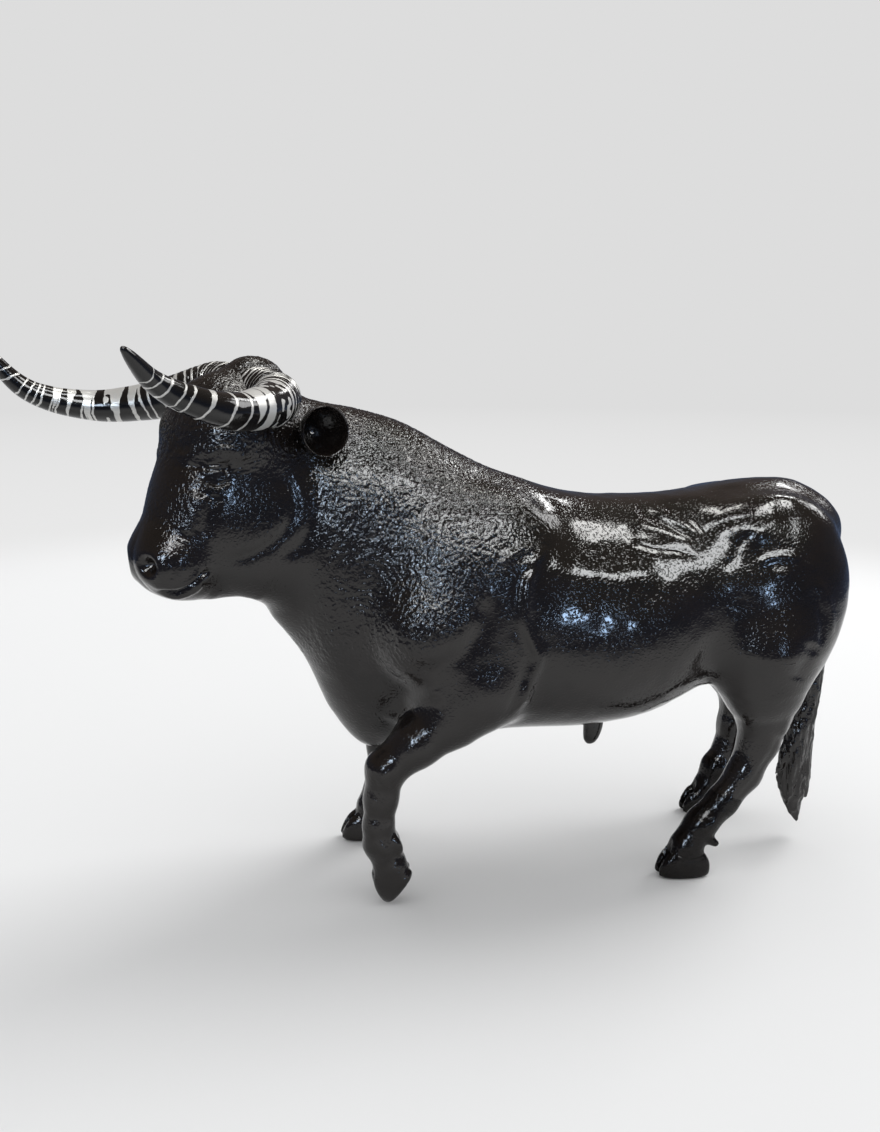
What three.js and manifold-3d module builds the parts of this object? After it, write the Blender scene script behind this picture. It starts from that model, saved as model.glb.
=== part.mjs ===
// Bull garden sculpture: lacquered resin castings on a welded steel armature.
// Millimetres, +Z up. The bull faces -X, its right side is +Y, and its head turns to its left.
// The body is laid out from a point on the ground midway between its four feet.

import * as THREE from 'three';
import { mergeVertices } from 'three/addons/utils/BufferGeometryUtils.js';
import Module from 'manifold-3d';

const wasm = await Module();
wasm.setup();

// Driving dimensions
const wall = 6;                  // resin wall of the hollow trunk
const airGap = 0.3;              // clearance between neighbouring pieces
const trunkStep = [20, 16, 16];  // facet size of the trunk's skin along X, Y and Z
const hollowStep = [28, 24, 26]; // facet size of the trunk's inner wall
const headStep = [10, 10, 10];   // facet size of the head
const legStep = [10, 10, 12];    // facet size of the legs
const headTurn = 28;             // degrees that the head turns to the bull's left
const poll = [-219, -14, 389];   // top of the head, between the horns
const rodRadius = 3;             // steel rods in the legs, the tail and across the head
const barHalf = 5;               // half the side of the square armature bars
const hornRadius = 15.5;         // horn at its root
const earRadius = 17;            // mouth of the cupped ear
const claySpace = 900;           // side of the blocks that cut the clay, larger than the figure
const groundShift = [79, 52, 0]; // from the body's layout point to the middle of the box

const lacquer = { color: 0x0b0a0b, roughness: 0.16, metalness: 0.0 };
const hornPaint = { color: 0x1a1a1b, roughness: 0.2, metalness: 0.1 };
const steel = { color: 0x8b8f94, roughness: 0.5, metalness: 1.0 };

// Vectors as plain arrays
const add = (a, b) => [a[0] + b[0], a[1] + b[1], a[2] + b[2]];
const sub = (a, b) => [a[0] - b[0], a[1] - b[1], a[2] - b[2]];
const times = (a, k) => [a[0] * k, a[1] * k, a[2] * k];
const dot = (a, b) => a[0] * b[0] + a[1] * b[1] + a[2] * b[2];
const mix = (a, b, t) => a + (b - a) * t;
const clamp = (x, low, high) => Math.min(Math.max(x, low), high);
const radians = THREE.MathUtils.degToRad;
const mirrored = (points, side) => points.map(([x, y, z]) => [x, side * y, z]);

// Clay: each mass is a function that is negative inside and grows with distance outside.
// Two masses run into one another over a blend of the given width.
const blends = {
  flanks: 14, flankToTrunk: 18, neckHump: 20, headMasses: 12, headToNeck: 16, legToTrunk: 14,
  alongLimb: 5, rumpEnd: 16, throatEnd: 10,
};

function blend(a, b, width) {
  const h = Math.max(width - Math.abs(a - b), 0) / width;
  return Math.min(a, b) - h * h * width * 0.25;
}

function blendMax(a, b, width) {
  return -blend(-a, -b, width);
}

// An ellipsoid, pitched in the side view
function ellipsoid(centre, radii, pitch = 0) {
  const [c, s] = [Math.cos(radians(pitch)), Math.sin(radians(pitch))];
  return (p) => {
    const d = sub(p, centre);
    const q = [d[0] * c + d[2] * s, d[1], d[2] * c - d[0] * s];
    const near = Math.hypot(q[0] / radii[0], q[1] / radii[1], q[2] / radii[2]);
    const slope = Math.hypot(q[0] / radii[0] ** 2, q[1] / radii[1] ** 2, q[2] / radii[2] ** 2);
    return slope < 1e-9 ? -Math.min(...radii) : near * (near - 1) / slope;
  };
}

// A limb: balls of changing radius swept along a chain of joints; narrow is its width over its depth
function limb(joints, radii, narrow = 1) {
  return (p) => {
    let nearest = Infinity;
    for (let i = 0; i + 1 < joints.length; i += 1) {
      const bone = sub(joints[i + 1], joints[i]);
      const from = sub(p, joints[i]);
      const t = clamp(dot(from, bone) / dot(bone, bone), 0, 1);
      const off = sub(from, times(bone, t));
      const far = Math.hypot(off[0], off[1] / narrow, off[2]);
      nearest = blend(nearest, far - mix(radii[i], radii[i + 1], t), blends.alongLimb);
    }
    return nearest;
  };
}

// Smooth values between the rows of a table whose first column is the place
function smoothTable(rows) {
  return (x) => {
    const last = rows.length - 1;
    const at = clamp(x, rows[0][0], rows[last][0]);
    let i = 0;
    while (i < last - 1 && at > rows[i + 1][0]) i += 1;
    const [a, b] = [rows[i], rows[i + 1]];
    const before = rows[Math.max(i - 1, 0)];
    const after = rows[Math.min(i + 2, last)];
    const t = (at - a[0]) / (b[0] - a[0]);
    const run = b[0] - a[0];
    return a.slice(1).map((value, k) => {
      const slopeA = (b[k + 1] - before[k + 1]) / (b[0] - before[0]) * run;
      const slopeB = (after[k + 1] - a[k + 1]) / (after[0] - a[0]) * run;
      const [t2, t3] = [t * t, t * t * t];
      return (2 * t3 - 3 * t2 + 1) * value + (t3 - 2 * t2 + t) * slopeA
        + (3 * t2 - 2 * t3) * b[k + 1] + (t3 - t2) * slopeB;
    });
  };
}

// The trunk and neck, station by station from the throat back to the rump: place along X,
// topline, underline, half width, how far the widest level lies above the middle, and how
// round the lower half is (2 is an ellipse, less is a keel, more is a flat belly)
const trunkStations = smoothTable([
  [-222, 372, 232, 36, 0.10, 1.9],
  [-205, 369, 206, 40, 0.10, 1.8],
  [-185, 364, 178, 45, 0.12, 1.7],
  [-165, 359, 134, 52, 0.18, 1.7],
  [-140, 354, 103, 60, 0.20, 1.7],
  [-110, 344, 103, 69, 0.16, 1.8],
  [-75, 324, 107, 78, 0.10, 2.0],
  [-35, 307, 114, 82, 0.04, 2.3],
  [20, 291, 114, 84, 0.00, 2.4],
  [70, 288, 120, 81, 0.02, 2.4],
  [115, 291, 138, 73, 0.08, 2.3],
  [155, 297, 151, 64, 0.12, 2.2],
  [195, 297, 160, 52, 0.16, 2.2],
  [215, 287, 172, 38, 0.20, 2.2],
  [229, 262, 198, 18, 0.20, 2.2],
]);
const trunkEnds = [-214, 229];
const neckBend = 14;             // how far the neck's middle swings towards the turned head
const neckBendStart = -120;      // where that swing begins
const backRoundness = 2.1;       // the exponent of the upper half of a station

function trunkClay(p) {
  const [top, bottom, half, rise, keel] = trunkStations(p[0]);
  const middle = mix(bottom, top, 0.5 + rise / 2);
  const reach = p[2] > middle ? top - middle : middle - bottom;
  const swing = neckBend * clamp((neckBendStart - p[0]) / 100, 0, 1) ** 2;
  const round = p[2] > middle ? backRoundness : keel;
  const across = Math.abs(p[1] + swing) / half;
  const up = Math.abs(p[2] - middle) / reach;
  const shell = ((across ** round + up ** round) ** (1 / round) - 1) * Math.min(half, reach);
  const closed = blendMax(shell, p[0] - trunkEnds[1], blends.rumpEnd);
  return blendMax(closed, trunkEnds[0] - p[0], blends.throatEnd);
}

// Masses that stand on both sides of the trunk, given for the bull's right side
const flankMasses = [
  { at: [-66, 50, 228], size: [54, 30, 72], pitch: -24 },   // shoulder blade
  { at: [-98, 60, 202], size: [36, 24, 34], pitch: 0 },     // point of the shoulder
  { at: [-66, 57, 166], size: [34, 25, 36], pitch: -20 },   // upper arm and elbow
  { at: [171, 42, 226], size: [53, 34, 62], pitch: 10 },    // rump
  { at: [150, 50, 185], size: [44, 31, 50], pitch: 20 },    // stifle
  { at: [183, 46, 198], size: [34, 28, 54], pitch: -4 },   // back of the thigh
  { at: [140, 44, 266], size: [24, 22, 18], pitch: 0 },     // hip bone
  { at: [208, 22, 261], size: [20, 16, 20], pitch: 30 },    // pin bone
];
const neckHump = { at: [-118, 0, 292], size: [70, 48, 38], pitch: -18 };

function flankClay(p) {
  const folded = [p[0], Math.abs(p[1]), p[2]];
  return flankMasses
    .map(({ at, size, pitch }) => ellipsoid(at, size, pitch)(folded))
    .reduce((sum, next) => blend(sum, next, blends.flanks));
}

// Each leg: the chain of its joints from the root down, the radii there, and how its foot stands.
// A foot is given by its toe, its length from toe to heel and the pitch of its sole.
const legs = {
  foreleg_left: {
    side: -1,
    joints: [[-62, 55, 160], [-84, 56, 138], [-108, 56, 121], [-130, 55, 103], [-134, 55, 80],
      [-136, 55, 60], [-134.5, 54, 46], [-128, 54, 31]],
    radii: [28, 22, 18, 14.5, 12, 10.8, 12, 12],
    toe: [-128, 54, 0], pitch: 53, footLength: 29, coronet: [-127, 54, 21], dewclaw: [-125, 49],
  },
  foreleg_right: {
    side: 1,
    joints: [[-62, 57, 160], [-84, 57, 140], [-103, 57, 122], [-116, 57, 103], [-118, 57, 80],
      [-119, 57, 60], [-120, 57, 44], [-127, 58, 28]],
    radii: [28, 22, 18, 14.5, 12, 10.8, 12, 12],
    toe: [-150, 58, 0], pitch: 0, footLength: 38, coronet: [-129, 58, 13], dewclaw: [-110, 40],
  },
  hindleg_left: {
    side: -1,
    joints: [[158, 53, 176], [157, 53, 146], [159, 53, 124], [156, 53, 104], [145, 53, 78],
      [129, 53, 57], [112, 53, 40], [101, 53, 25]],
    radii: [38, 31, 20, 15.5, 13, 11.6, 12.2, 12],
    toe: [80, 53, 0], pitch: 0, footLength: 41, coronet: [102, 53, 13], dewclaw: [121, 32],
  },
  hindleg_right: {
    side: 1,
    joints: [[164, 55, 176], [172, 57, 146], [184, 57, 124], [192, 57, 104], [188, 57, 78],
      [183, 57, 57], [174, 57, 40], [168, 57, 25]],
    radii: [40, 31, 20, 15.5, 12.8, 11, 12.2, 12],
    toe: [145, 57, 0], pitch: 0, footLength: 41, coronet: [168, 57, 13], dewclaw: [186, 34],
  },
};
const coronetRadius = 10;
const legNarrow = 0.92;          // a leg's width over its depth
const legClays = Object.values(legs).map(({ side, joints, radii }) => ({
  side,
  clay: limb(mirrored(joints, side), radii, legNarrow),
}));

// The head, laid out from the poll: forward along the face, out to either side, and up
const turn = radians(headTurn);
const faceWay = [-Math.cos(turn), -Math.sin(turn), 0];
const sideWay = [-Math.sin(turn), Math.cos(turn), 0];

function fromHead([forward, out, up]) {
  return add(add(poll, times(faceWay, forward)), add(times(sideWay, out), [0, 0, up]));
}

function toHead(p) {
  const d = sub(p, poll);
  return [dot(d, faceWay), dot(d, sideWay), d[2]];
}

const headMasses = [
  { at: [8, 0, -46], size: [44, 46, 41], pitch: 0 },        // cranium
  { at: [0, 0, -9], size: [20, 18, 11], pitch: 10 },        // tuft on the poll
  { at: [24, 20, -48], size: [28, 26, 24], pitch: 0 },      // brow
  { at: [2, 20, -102], size: [40, 26, 58], pitch: -8 },     // cheek
  { at: [14, 10, -138], size: [40, 20, 22], pitch: 4 },     // jaw
  { at: [61, 6, -133], size: [28, 25, 23], pitch: 20 },     // muzzle
  { at: [46, 0, -148], size: [26, 18, 11], pitch: 6 },      // chin
];
const faceRidge = limb([[18, 0, -44], [52, 0, -116]], [36, 29], 0.95);

function headClay(p) {
  const h = toHead(p);
  const folded = [h[0], Math.abs(h[1]), h[2]];
  return headMasses
    .map(({ at, size, pitch }) => ellipsoid(at, size, pitch)(folded))
    .reduce((sum, next) => blend(sum, next, blends.headMasses), faceRidge(h));
}

function bodyClay(p) {
  let sum = blend(trunkClay(p), flankClay(p), blends.flankToTrunk);
  sum = blend(sum, ellipsoid(neckHump.at, neckHump.size, neckHump.pitch)(p), blends.neckHump);
  sum = blend(sum, headClay(p), blends.headToNeck);
  for (const { side, clay } of legClays) {
    if (side * p[1] > 0) sum = blend(sum, clay(p), blends.legToTrunk);
  }
  return sum;
}

// Skin: the surface of the clay inside a box, one vertex to each cell that it crosses,
// drawn onto the clay by following its slope

function slopeOf(clay, p) {
  const e = 0.4;
  return [0, 1, 2].map((axis) => {
    const [more, less] = [[...p], [...p]];
    more[axis] += e;
    less[axis] -= e;
    return (clay(more) - clay(less)) / (2 * e);
  });
}

function skin(clay, low, high, step) {
  const past = (p) => [0, 1, 2].map((axis) => Math.max(low[axis] - p[axis], p[axis] - high[axis]));
  const boxed = (p) => Math.max(clay(p), ...past(p));
  const start = low.map((value, axis) => value - step[axis]);
  const count = high.map((value, axis) => Math.ceil((value - start[axis]) / step[axis]) + 2);
  const index = (i, j, k) => (k * count[1] + j) * count[0] + i;
  const place = (...cell) => cell.map((n, axis) => start[axis] + n * step[axis]);
  const values = new Float64Array(count[0] * count[1] * count[2]);
  for (let k = 0; k < count[2]; k += 1) {
    for (let j = 0; j < count[1]; j += 1) {
      for (let i = 0; i < count[0]; i += 1) values[index(i, j, k)] = boxed(place(i, j, k));
    }
  }
  settleCreases(values, count, index);
  const corners = [0, 1, 2, 3, 4, 5, 6, 7].map((c) => [c & 1, (c >> 1) & 1, c >> 2]);
  const edges = [
    [0, 1], [2, 3], [4, 5], [6, 7], [0, 2], [1, 3],
    [4, 6], [5, 7], [0, 4], [1, 5], [2, 6], [3, 7],
  ];
  const vertexOf = new Int32Array(values.length).fill(-1);
  const vertices = [];
  for (let k = 0; k + 1 < count[2]; k += 1) {
    for (let j = 0; j + 1 < count[1]; j += 1) {
      for (let i = 0; i + 1 < count[0]; i += 1) {
        const around = corners.map(([a, b, c]) => values[index(i + a, j + b, k + c)]);
        const hits = edges.filter(([a, b]) => (around[a] < 0) !== (around[b] < 0));
        if (hits.length === 0) continue;
        let sum = [0, 0, 0];
        for (const [a, b] of hits) {
          const t = around[a] / (around[a] - around[b]);
          sum = add(sum, corners[a].map((value, axis) => mix(value, corners[b][axis], t)));
        }
        const inCell = times(sum, 1 / hits.length);
        vertexOf[index(i, j, k)] = vertices.length;
        vertices.push(add(place(i, j, k), inCell.map((share, axis) => share * step[axis])));
      }
    }
  }
  const drawn = vertices.map((p) => drawOnto(boxed, p, Math.min(...step) * 0.45));
  const triangles = [];
  const strides = [[1, 0, 0], [0, 1, 0], [0, 0, 1]];
  for (let k = 1; k + 1 < count[2]; k += 1) {
    for (let j = 1; j + 1 < count[1]; j += 1) {
      for (let i = 1; i + 1 < count[0]; i += 1) {
        strides.forEach(([a, b, c], axis) => {
          const inside = values[index(i, j, k)] < 0;
          if (inside === values[index(i + a, j + b, k + c)] < 0) return;
          const [u, v] = [strides[(axis + 1) % 3], strides[(axis + 2) % 3]];
          const cell = (m, n) => {
            const back = add(times(u, m), times(v, n));
            return vertexOf[index(i - back[0], j - back[1], k - back[2])];
          };
          const ring = [cell(1, 1), cell(0, 1), cell(0, 0), cell(1, 0)];
          if (!inside) ring.reverse();
          triangles.push(...splitShort(ring, drawn));
        });
      }
    }
  }
  return indexed(drawn, triangles);
}

// Where the four corners of a grid square alternate in and out, two sheets of skin would meet
// along an edge, so the corner nearest to the clay changes sides until no square is left so
function settleCreases(values, count, index) {
  const squares = [[[1, 0, 0], [0, 1, 0]], [[0, 1, 0], [0, 0, 1]], [[0, 0, 1], [1, 0, 0]]];
  let changed = true;
  while (changed) {
    changed = false;
    for (let k = 0; k + 1 < count[2]; k += 1) {
      for (let j = 0; j + 1 < count[1]; j += 1) {
        for (let i = 0; i + 1 < count[0]; i += 1) {
          for (const [u, v] of squares) {
            const square = [[0, 0], [1, 0], [1, 1], [0, 1]].map(([m, n]) => {
              const on = add(times(u, m), times(v, n));
              return index(i + on[0], j + on[1], k + on[2]);
            });
            const [a, b, c, d] = square.map((n) => values[n] < 0);
            if (a !== c || b !== d || a === b) continue;
            const nearer = (m, n) => (Math.abs(values[m]) < Math.abs(values[n]) ? m : n);
            const nearest = square.reduce(nearer);
            values[nearest] *= -1;
            changed = true;
          }
        }
      }
    }
  }
}

// A vertex goes no further from its cell than the given reach, so that the skin can't fold
function drawOnto(clay, from, reach) {
  let p = from;
  for (let pass = 0; pass < 5; pass += 1) {
    const slope = slopeOf(clay, p);
    const steep = dot(slope, slope);
    if (steep < 1e-6) break;
    p = sub(p, times(slope, clay(p) / steep));
  }
  const move = sub(p, from);
  const far = Math.hypot(...move);
  return far > reach ? add(from, times(move, reach / far)) : p;
}

// A quad is split along its shorter diagonal
function splitShort([a, b, c, d], points) {
  const across = Math.hypot(...sub(points[a], points[c]));
  const other = Math.hypot(...sub(points[b], points[d]));
  return across < other ? [a, b, c, a, c, d] : [a, b, d, b, c, d];
}

function indexed(points, triangles) {
  const geometry = new THREE.BufferGeometry();
  geometry.setAttribute('position', new THREE.Float32BufferAttribute(points.flat(), 3));
  geometry.setIndex(triangles);
  return geometry;
}

// Solids for cutting and joining

function solid(geometry) {
  const bare = geometry.clone();
  bare.deleteAttribute('normal');
  bare.deleteAttribute('uv');
  const merged = mergeVertices(bare, 1e-4);
  const mesh = new wasm.Mesh({
    numProp: 3,
    vertProperties: new Float32Array(merged.attributes.position.array),
    triVerts: new Uint32Array(merged.index.array),
  });
  return new wasm.Manifold(mesh);
}

function surface(manifold) {
  const mesh = manifold.getMesh();
  const geometry = new THREE.BufferGeometry();
  geometry.setAttribute('position', new THREE.BufferAttribute(mesh.vertProperties, 3));
  geometry.setIndex(new THREE.BufferAttribute(mesh.triVerts, 1));
  return geometry;
}

// The turn that brings one direction onto another
function turnFrom(from, to) {
  const [start, end] = [from, to].map((way) => new THREE.Vector3(...way).normalize());
  return new THREE.Quaternion().setFromUnitVectors(start, end);
}

// A block that fills the space on the far side of a plane, along its normal
function beyond(point, normal) {
  const block = new THREE.BoxGeometry(claySpace, claySpace, claySpace);
  block.translate(0, 0, claySpace / 2);
  block.applyQuaternion(turnFrom([0, 0, 1], normal));
  block.translate(...point);
  return solid(block);
}

const moveAlong = (point, way, distance) => add(point, times(way, distance / Math.hypot(...way)));

// A tapering round or flattened bar along a smooth curve, closed at both ends.
// radii holds [share of the length, radius in the side view, radius across]
function sweep(points, radii, sides, steps, grow = 0) {
  const through = points.map((p) => new THREE.Vector3(...p));
  const curve = new THREE.CatmullRomCurve3(through, false, 'centripetal');
  const size = smoothTable(radii);
  const rings = [];
  for (let s = 0; s <= steps; s += 1) {
    const t = s / steps;
    const centre = curve.getPointAt(t);
    const along = curve.getTangentAt(t);
    const across = new THREE.Vector3(0, 1, 0).addScaledVector(along, -along.y).normalize();
    const side = new THREE.Vector3().crossVectors(across, along);
    const [deep, wide] = size(t);
    const end = grow * ((s === steps) - (s === 0));
    for (let k = 0; k < sides; k += 1) {
      const angle = 2 * Math.PI * (k + 0.5) / sides;
      const ring = centre.clone().addScaledVector(along, end);
      ring.addScaledVector(side, (deep + grow) * Math.cos(angle));
      ring.addScaledVector(across, (wide + grow) * Math.sin(angle));
      rings.push(ring.toArray());
    }
  }
  const triangles = [];
  for (let s = 0; s < steps; s += 1) {
    for (let k = 0; k < sides; k += 1) {
      const [a, b] = [s * sides + k, s * sides + (k + 1) % sides];
      triangles.push(a, b, b + sides, a, b + sides, a + sides);
    }
  }
  for (let k = 1; k + 1 < sides; k += 1) {
    triangles.push(0, k + 1, k, steps * sides, steps * sides + k, steps * sides + k + 1);
  }
  return outward(indexed(rings, triangles));
}

// Turns every triangle round when a closed shape has come out inside out
function outward(geometry) {
  const at = geometry.attributes.position;
  const index = geometry.index.array;
  const corner = (n) => new THREE.Vector3().fromBufferAttribute(at, index[n]);
  let volume = 0;
  for (let n = 0; n < index.length; n += 3) {
    volume += corner(n).dot(corner(n + 1).cross(corner(n + 2)));
  }
  if (volume < 0) {
    for (let n = 0; n < index.length; n += 3) {
      [index[n + 1], index[n + 2]] = [index[n + 2], index[n + 1]];
    }
  }
  return geometry;
}

// The same bar with its radii given at the points of its curve
function limbSweep(joints, radii, narrow, sides, steps) {
  const along = joints.map((joint, i) => (i === 0 ? 0 : Math.hypot(...sub(joint, joints[i - 1]))));
  const reached = along.map((_, i) => along.slice(0, i + 1).reduce((sum, length) => sum + length, 0));
  const whole = reached[reached.length - 1];
  return sweep(joints, radii.map((r, i) => [reached[i] / whole, r, r * narrow]), sides, steps);
}

const rodSides = 8;
function rod(points, radius, grow = 0) {
  return sweep(points, [[0, radius, radius], [1, radius, radius]], rodSides, points.length, grow);
}

// Where the castings part. A leg's casting fills the space on the far side of all its root's planes
const neckPlane = { at: fromHead([-45, 0, -30]), normal: sub(fromHead([153, 0, 24]), poll) };
const foreRoot = [
  { at: [-64, 57, 134], normal: [-0.34, 0.1, -0.94] },
  { at: [-100, 37, 120], normal: [0.12, 1, -0.4] },
];
const hindRoot = [
  { at: [158, 57, 151], normal: [0.15, 0, -1] },
  { at: [109, 57, 150], normal: [1, 0, -0.3] },
  { at: [0, 14, 0], normal: [0, 1, 0] },
];
const rootOf = (name) => (name.startsWith('fore') ? foreRoot : hindRoot);

// The space of a leg's casting, with each plane set back by half the air gap
function legSpace(root, side, back) {
  const spaces = root.map(({ at, normal }) => {
    const [point, way] = mirrored([at, normal], side);
    return beyond(moveAlong(point, way, back), way);
  });
  return spaces.reduce((shared, space) => shared.intersect(space));
}

const headSpace = (back) => beyond(moveAlong(neckPlane.at, neckPlane.normal, back), neckPlane.normal);

// Horns: centrelines from the poll in the head's layout, forward, out and up
const hornLines = {
  horn_left: {
    side: -1,
    line: [[2, 7, -20], [0, 27, -21], [2, 44, -24], [30, 76, -28], [70, 101, -27.5], [115, 112, -12],
      [143, 129, 9]],
  },
  horn_right: {
    side: 1,
    line: [[2, 7, -20], [0, 27, -18], [1, 43, -18], [29, 74, -29], [69.5, 104, -33], [109, 120, -21],
      [140, 124, 14]],
  },
};
// Share of a horn's length and share of its root's radius there
const hornTaper = [[0, 1], [0.25, 1], [0.4, 0.86], [0.58, 0.7], [0.74, 0.54], [0.88, 0.36],
  [0.96, 0.22], [1, 0.09]];

function hornGeometry({ side, line }, grow = 0) {
  const points = line.map(([forward, out, up]) => fromHead([forward, side * out, up]));
  const radii = hornTaper.map(([t, share]) => [t, hornRadius * share, hornRadius * share]);
  return sweep(points, radii, 12, 22, grow);
}

// The steel bar that carries both horns through the poll
const hornBarEnd = 26;
const hornBarDepth = -20;
function hornBarLine() {
  return [[-5, -hornBarEnd, -21], [2, -8, hornBarDepth], [2, 8, hornBarDepth],
    [-4, hornBarEnd, -19]].map(fromHead);
}

// Ears: a cup on a stub that seats in the side of the head. Each profile runs from the stub's
// end up the outside; the seat's profile ends in a wide mouth, which clears the cup's rim
const earOutside = [[0, -15], [7, -15], [7.6, -3], [12, 3], [16, 11], [17, 19]];
const earInside = [[16.2, 21.5], [14.2, 19], [12.6, 11], [8, 5.5], [0, 4]];
const earSeatMouth = [[17, 30], [0, 30]];
const earSeat = [-24, 46, -47];
const earWay = [0.12, 1, 0.05];

function earGeometry(side, grow = 0) {
  const scale = earRadius / 17;
  const grown = [...earOutside.slice(0, -1), ...earSeatMouth].map(([r, h]) => [
    r > 0 ? r + grow : 0, h < -10 ? h - grow : h]);
  const outline = grow > 0 ? grown : [...earOutside, ...earInside];
  const profile = outline.map(([r, h]) => new THREE.Vector2(r * scale, h * scale));
  const cup = new THREE.LatheGeometry(profile, 12);
  const out = sub(fromHead([earWay[0], side * earWay[1], earWay[2]]), poll);
  cup.applyQuaternion(turnFrom([0, 1, 0], out));
  cup.translate(...fromHead([earSeat[0], side * earSeat[1], earSeat[2]]));
  const bare = mergeVertices(stripped(cup), 1e-4);
  return outward(dropSlivers(bare));
}

function stripped(geometry) {
  geometry.deleteAttribute('normal');
  geometry.deleteAttribute('uv');
  return geometry;
}

// Triangles that a merged pole has left without area
function dropSlivers(geometry) {
  const index = geometry.index.array;
  const kept = [];
  for (let n = 0; n < index.length; n += 3) {
    const [a, b, c] = [index[n], index[n + 1], index[n + 2]];
    if (a !== b && b !== c && c !== a) kept.push(a, b, c);
  }
  geometry.setIndex(kept);
  return geometry;
}

// Tail: from its seat in the rump down behind the haunches to the ragged switch
const tailLine = [[206, 0, 263], [223, 0, 263], [233, 0, 244], [237, 0, 214], [234, -2, 184],
  [227, -5, 156], [218, -6, 128], [211, -6, 92], [208, -6, 62], [213, -6, 36], [217, -6, 13]];
const tailRadii = [[0, 9, 9], [0.1, 9.5, 9.5], [0.3, 7, 7], [0.42, 6.5, 6.5], [0.5, 8, 8.5],
  [0.62, 10.5, 10], [0.8, 13, 9], [0.88, 12, 8], [0.95, 8, 5], [1, 1.5, 1.5]];
const tailGeometry = (grow = 0) => sweep(tailLine, tailRadii, 10, 26, grow);

const sheathLine = [[38, 0, 128], [42, 0, 112], [41, 0, 100], [38, 0, 90]];
const sheathRadii = [[0, 7, 6], [0.5, 8, 6.5], [0.8, 6.5, 5.5], [1, 3.5, 3]];
const sheathGeometry = (grow = 0) => sweep(sheathLine, sheathRadii, 10, 6, grow);

// Feet: two claws side by side, flat underneath, and a pair of dewclaws behind the fetlock
const clawWidth = 8.5;
const clawRounding = 2;
function clawGeometry(length, outer) {
  const profile = new THREE.Shape();
  profile.moveTo(3, 2);
  profile.lineTo(length - 4, 2);
  profile.quadraticCurveTo(length + 1, 6, length - 1, 15);
  profile.lineTo(length - 7, 21);
  profile.lineTo(length * 0.45, 21);
  profile.lineTo(1, 7);
  profile.quadraticCurveTo(-0.5, 3, 3, 2);
  const claw = new THREE.ExtrudeGeometry(profile, {
    depth: clawWidth,
    bevelEnabled: true,
    bevelSize: clawRounding,
    bevelThickness: clawRounding,
    bevelSegments: 1,
    curveSegments: 2,
  });
  claw.rotateX(Math.PI / 2);
  claw.translate(0, outer * 6.6 + clawWidth / 2, 0);
  const at = claw.attributes.position;
  for (let n = 0; n < at.count; n += 1) {
    const share = clamp(at.getX(n) / length, 0, 1);
    at.setY(n, at.getY(n) * mix(0.72, 1.06, Math.sqrt(share)));
  }
  return claw;
}

function foot({ side, toe, pitch, footLength, dewclaw }) {
  const pieces = [-1, 1].map((outer) => {
    const claw = clawGeometry(footLength, outer);
    claw.rotateY(-radians(pitch));
    claw.translate(toe[0], side * toe[1], toe[2] + (pitch > 0 ? 1 : 0));
    return solid(claw);
  });
  for (const out of [-7, 7]) {
    const bud = new THREE.SphereGeometry(5, 6, 4);
    bud.scale(1.2, 0.8, 1);
    bud.translate(dewclaw[0], side * toe[1] + out, dewclaw[1]);
    pieces.push(solid(bud));
  }
  return pieces;
}

const ground = beyond([0, 0, 0], [0, 0, -1]);

// Armature: two cross bars, given as [x, z], carry the spine bar, which lies on them
const barLevel = 200;
const frontCross = [-62, barLevel];
const rearCross = [150, barLevel];
const barHalfLength = 58;
const spinePast = 10;            // how far the spine bar runs on past each cross bar
const spineLevel = barLevel + 2 * barHalf + airGap;
const spineLine = [[frontCross[0] - spinePast, 0, spineLevel], [rearCross[0] + spinePast, 0, spineLevel]];

function crossBar([x, z]) {
  return new THREE.BoxGeometry(2 * barHalf, 2 * barHalfLength, 2 * barHalf).translate(x, 0, z);
}

function spineBar() {
  const [from, to] = spineLine;
  const box = new THREE.BoxGeometry(to[0] - from[0], 2 * barHalf, 2 * barHalf);
  return box.translate(...times(add(from, to), 0.5));
}

// The height of the middle of a round rod that lies on the spine bar
const onSpine = (radius) => spineLevel + barHalf + 2 * airGap + radius;

// Rods inside the legs: from under the cross bar down through the joints to the fetlock
const crossOf = (name) => (name.startsWith('fore') ? frontCross : rearCross);

function rodLine(name) {
  const { side, joints } = legs[name];
  const [x, z] = crossOf(name);
  return mirrored([[x, joints[0][1] - 8, z], ...joints.slice(1, 7)], side);
}

function legRod(name) {
  const underBar = [0, 0, crossOf(name)[1] - barHalf - airGap];
  return surface(solid(rod(rodLine(name), rodRadius)).subtract(beyond(underBar, [0, 0, 1])));
}

// The neck bar lies on the front of the spine bar and climbs to the bar between the horns
function neckBarLine() {
  const lying = [-30, -62].map((x) => [x, 0, onSpine(rodRadius)]);
  const hornBarRest = fromHead([0, 0, hornBarDepth - 2 * (rodRadius + airGap)]);
  return [...lying, [-92, 0, 244], [-130, -1, 274], [-178, -6, 318], fromHead([-10, 0, -48]), hornBarRest];
}

// The tail's wire lies on the back of the spine bar and runs down inside the tail
const tailWireRadius = 1.6;
function tailWireLine() {
  const lying = [112, 140].map((x) => [x, 0, onSpine(tailWireRadius)]);
  return [...lying, [180, 0, 240], ...tailLine.slice(0, 5)];
}

// Castings

function trunkCasting() {
  const outer = solid(skin(bodyClay, [-224, -104, 92], [254, 104, 392], trunkStep));
  const inner = solid(skin((p) => bodyClay(p) + wall, [-232, -96, 98], [246, 96, 384], hollowStep));
  let trunk = outer.subtract(inner).subtract(headSpace(-airGap / 2));
  for (const [name, { side }] of Object.entries(legs)) {
    trunk = trunk.subtract(legSpace(rootOf(name), side, -airGap / 2));
  }
  const plugs = [tailGeometry(airGap), sheathGeometry(airGap)];
  return plugs.reduce((left, plug) => left.subtract(solid(plug)), trunk);
}

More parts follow.
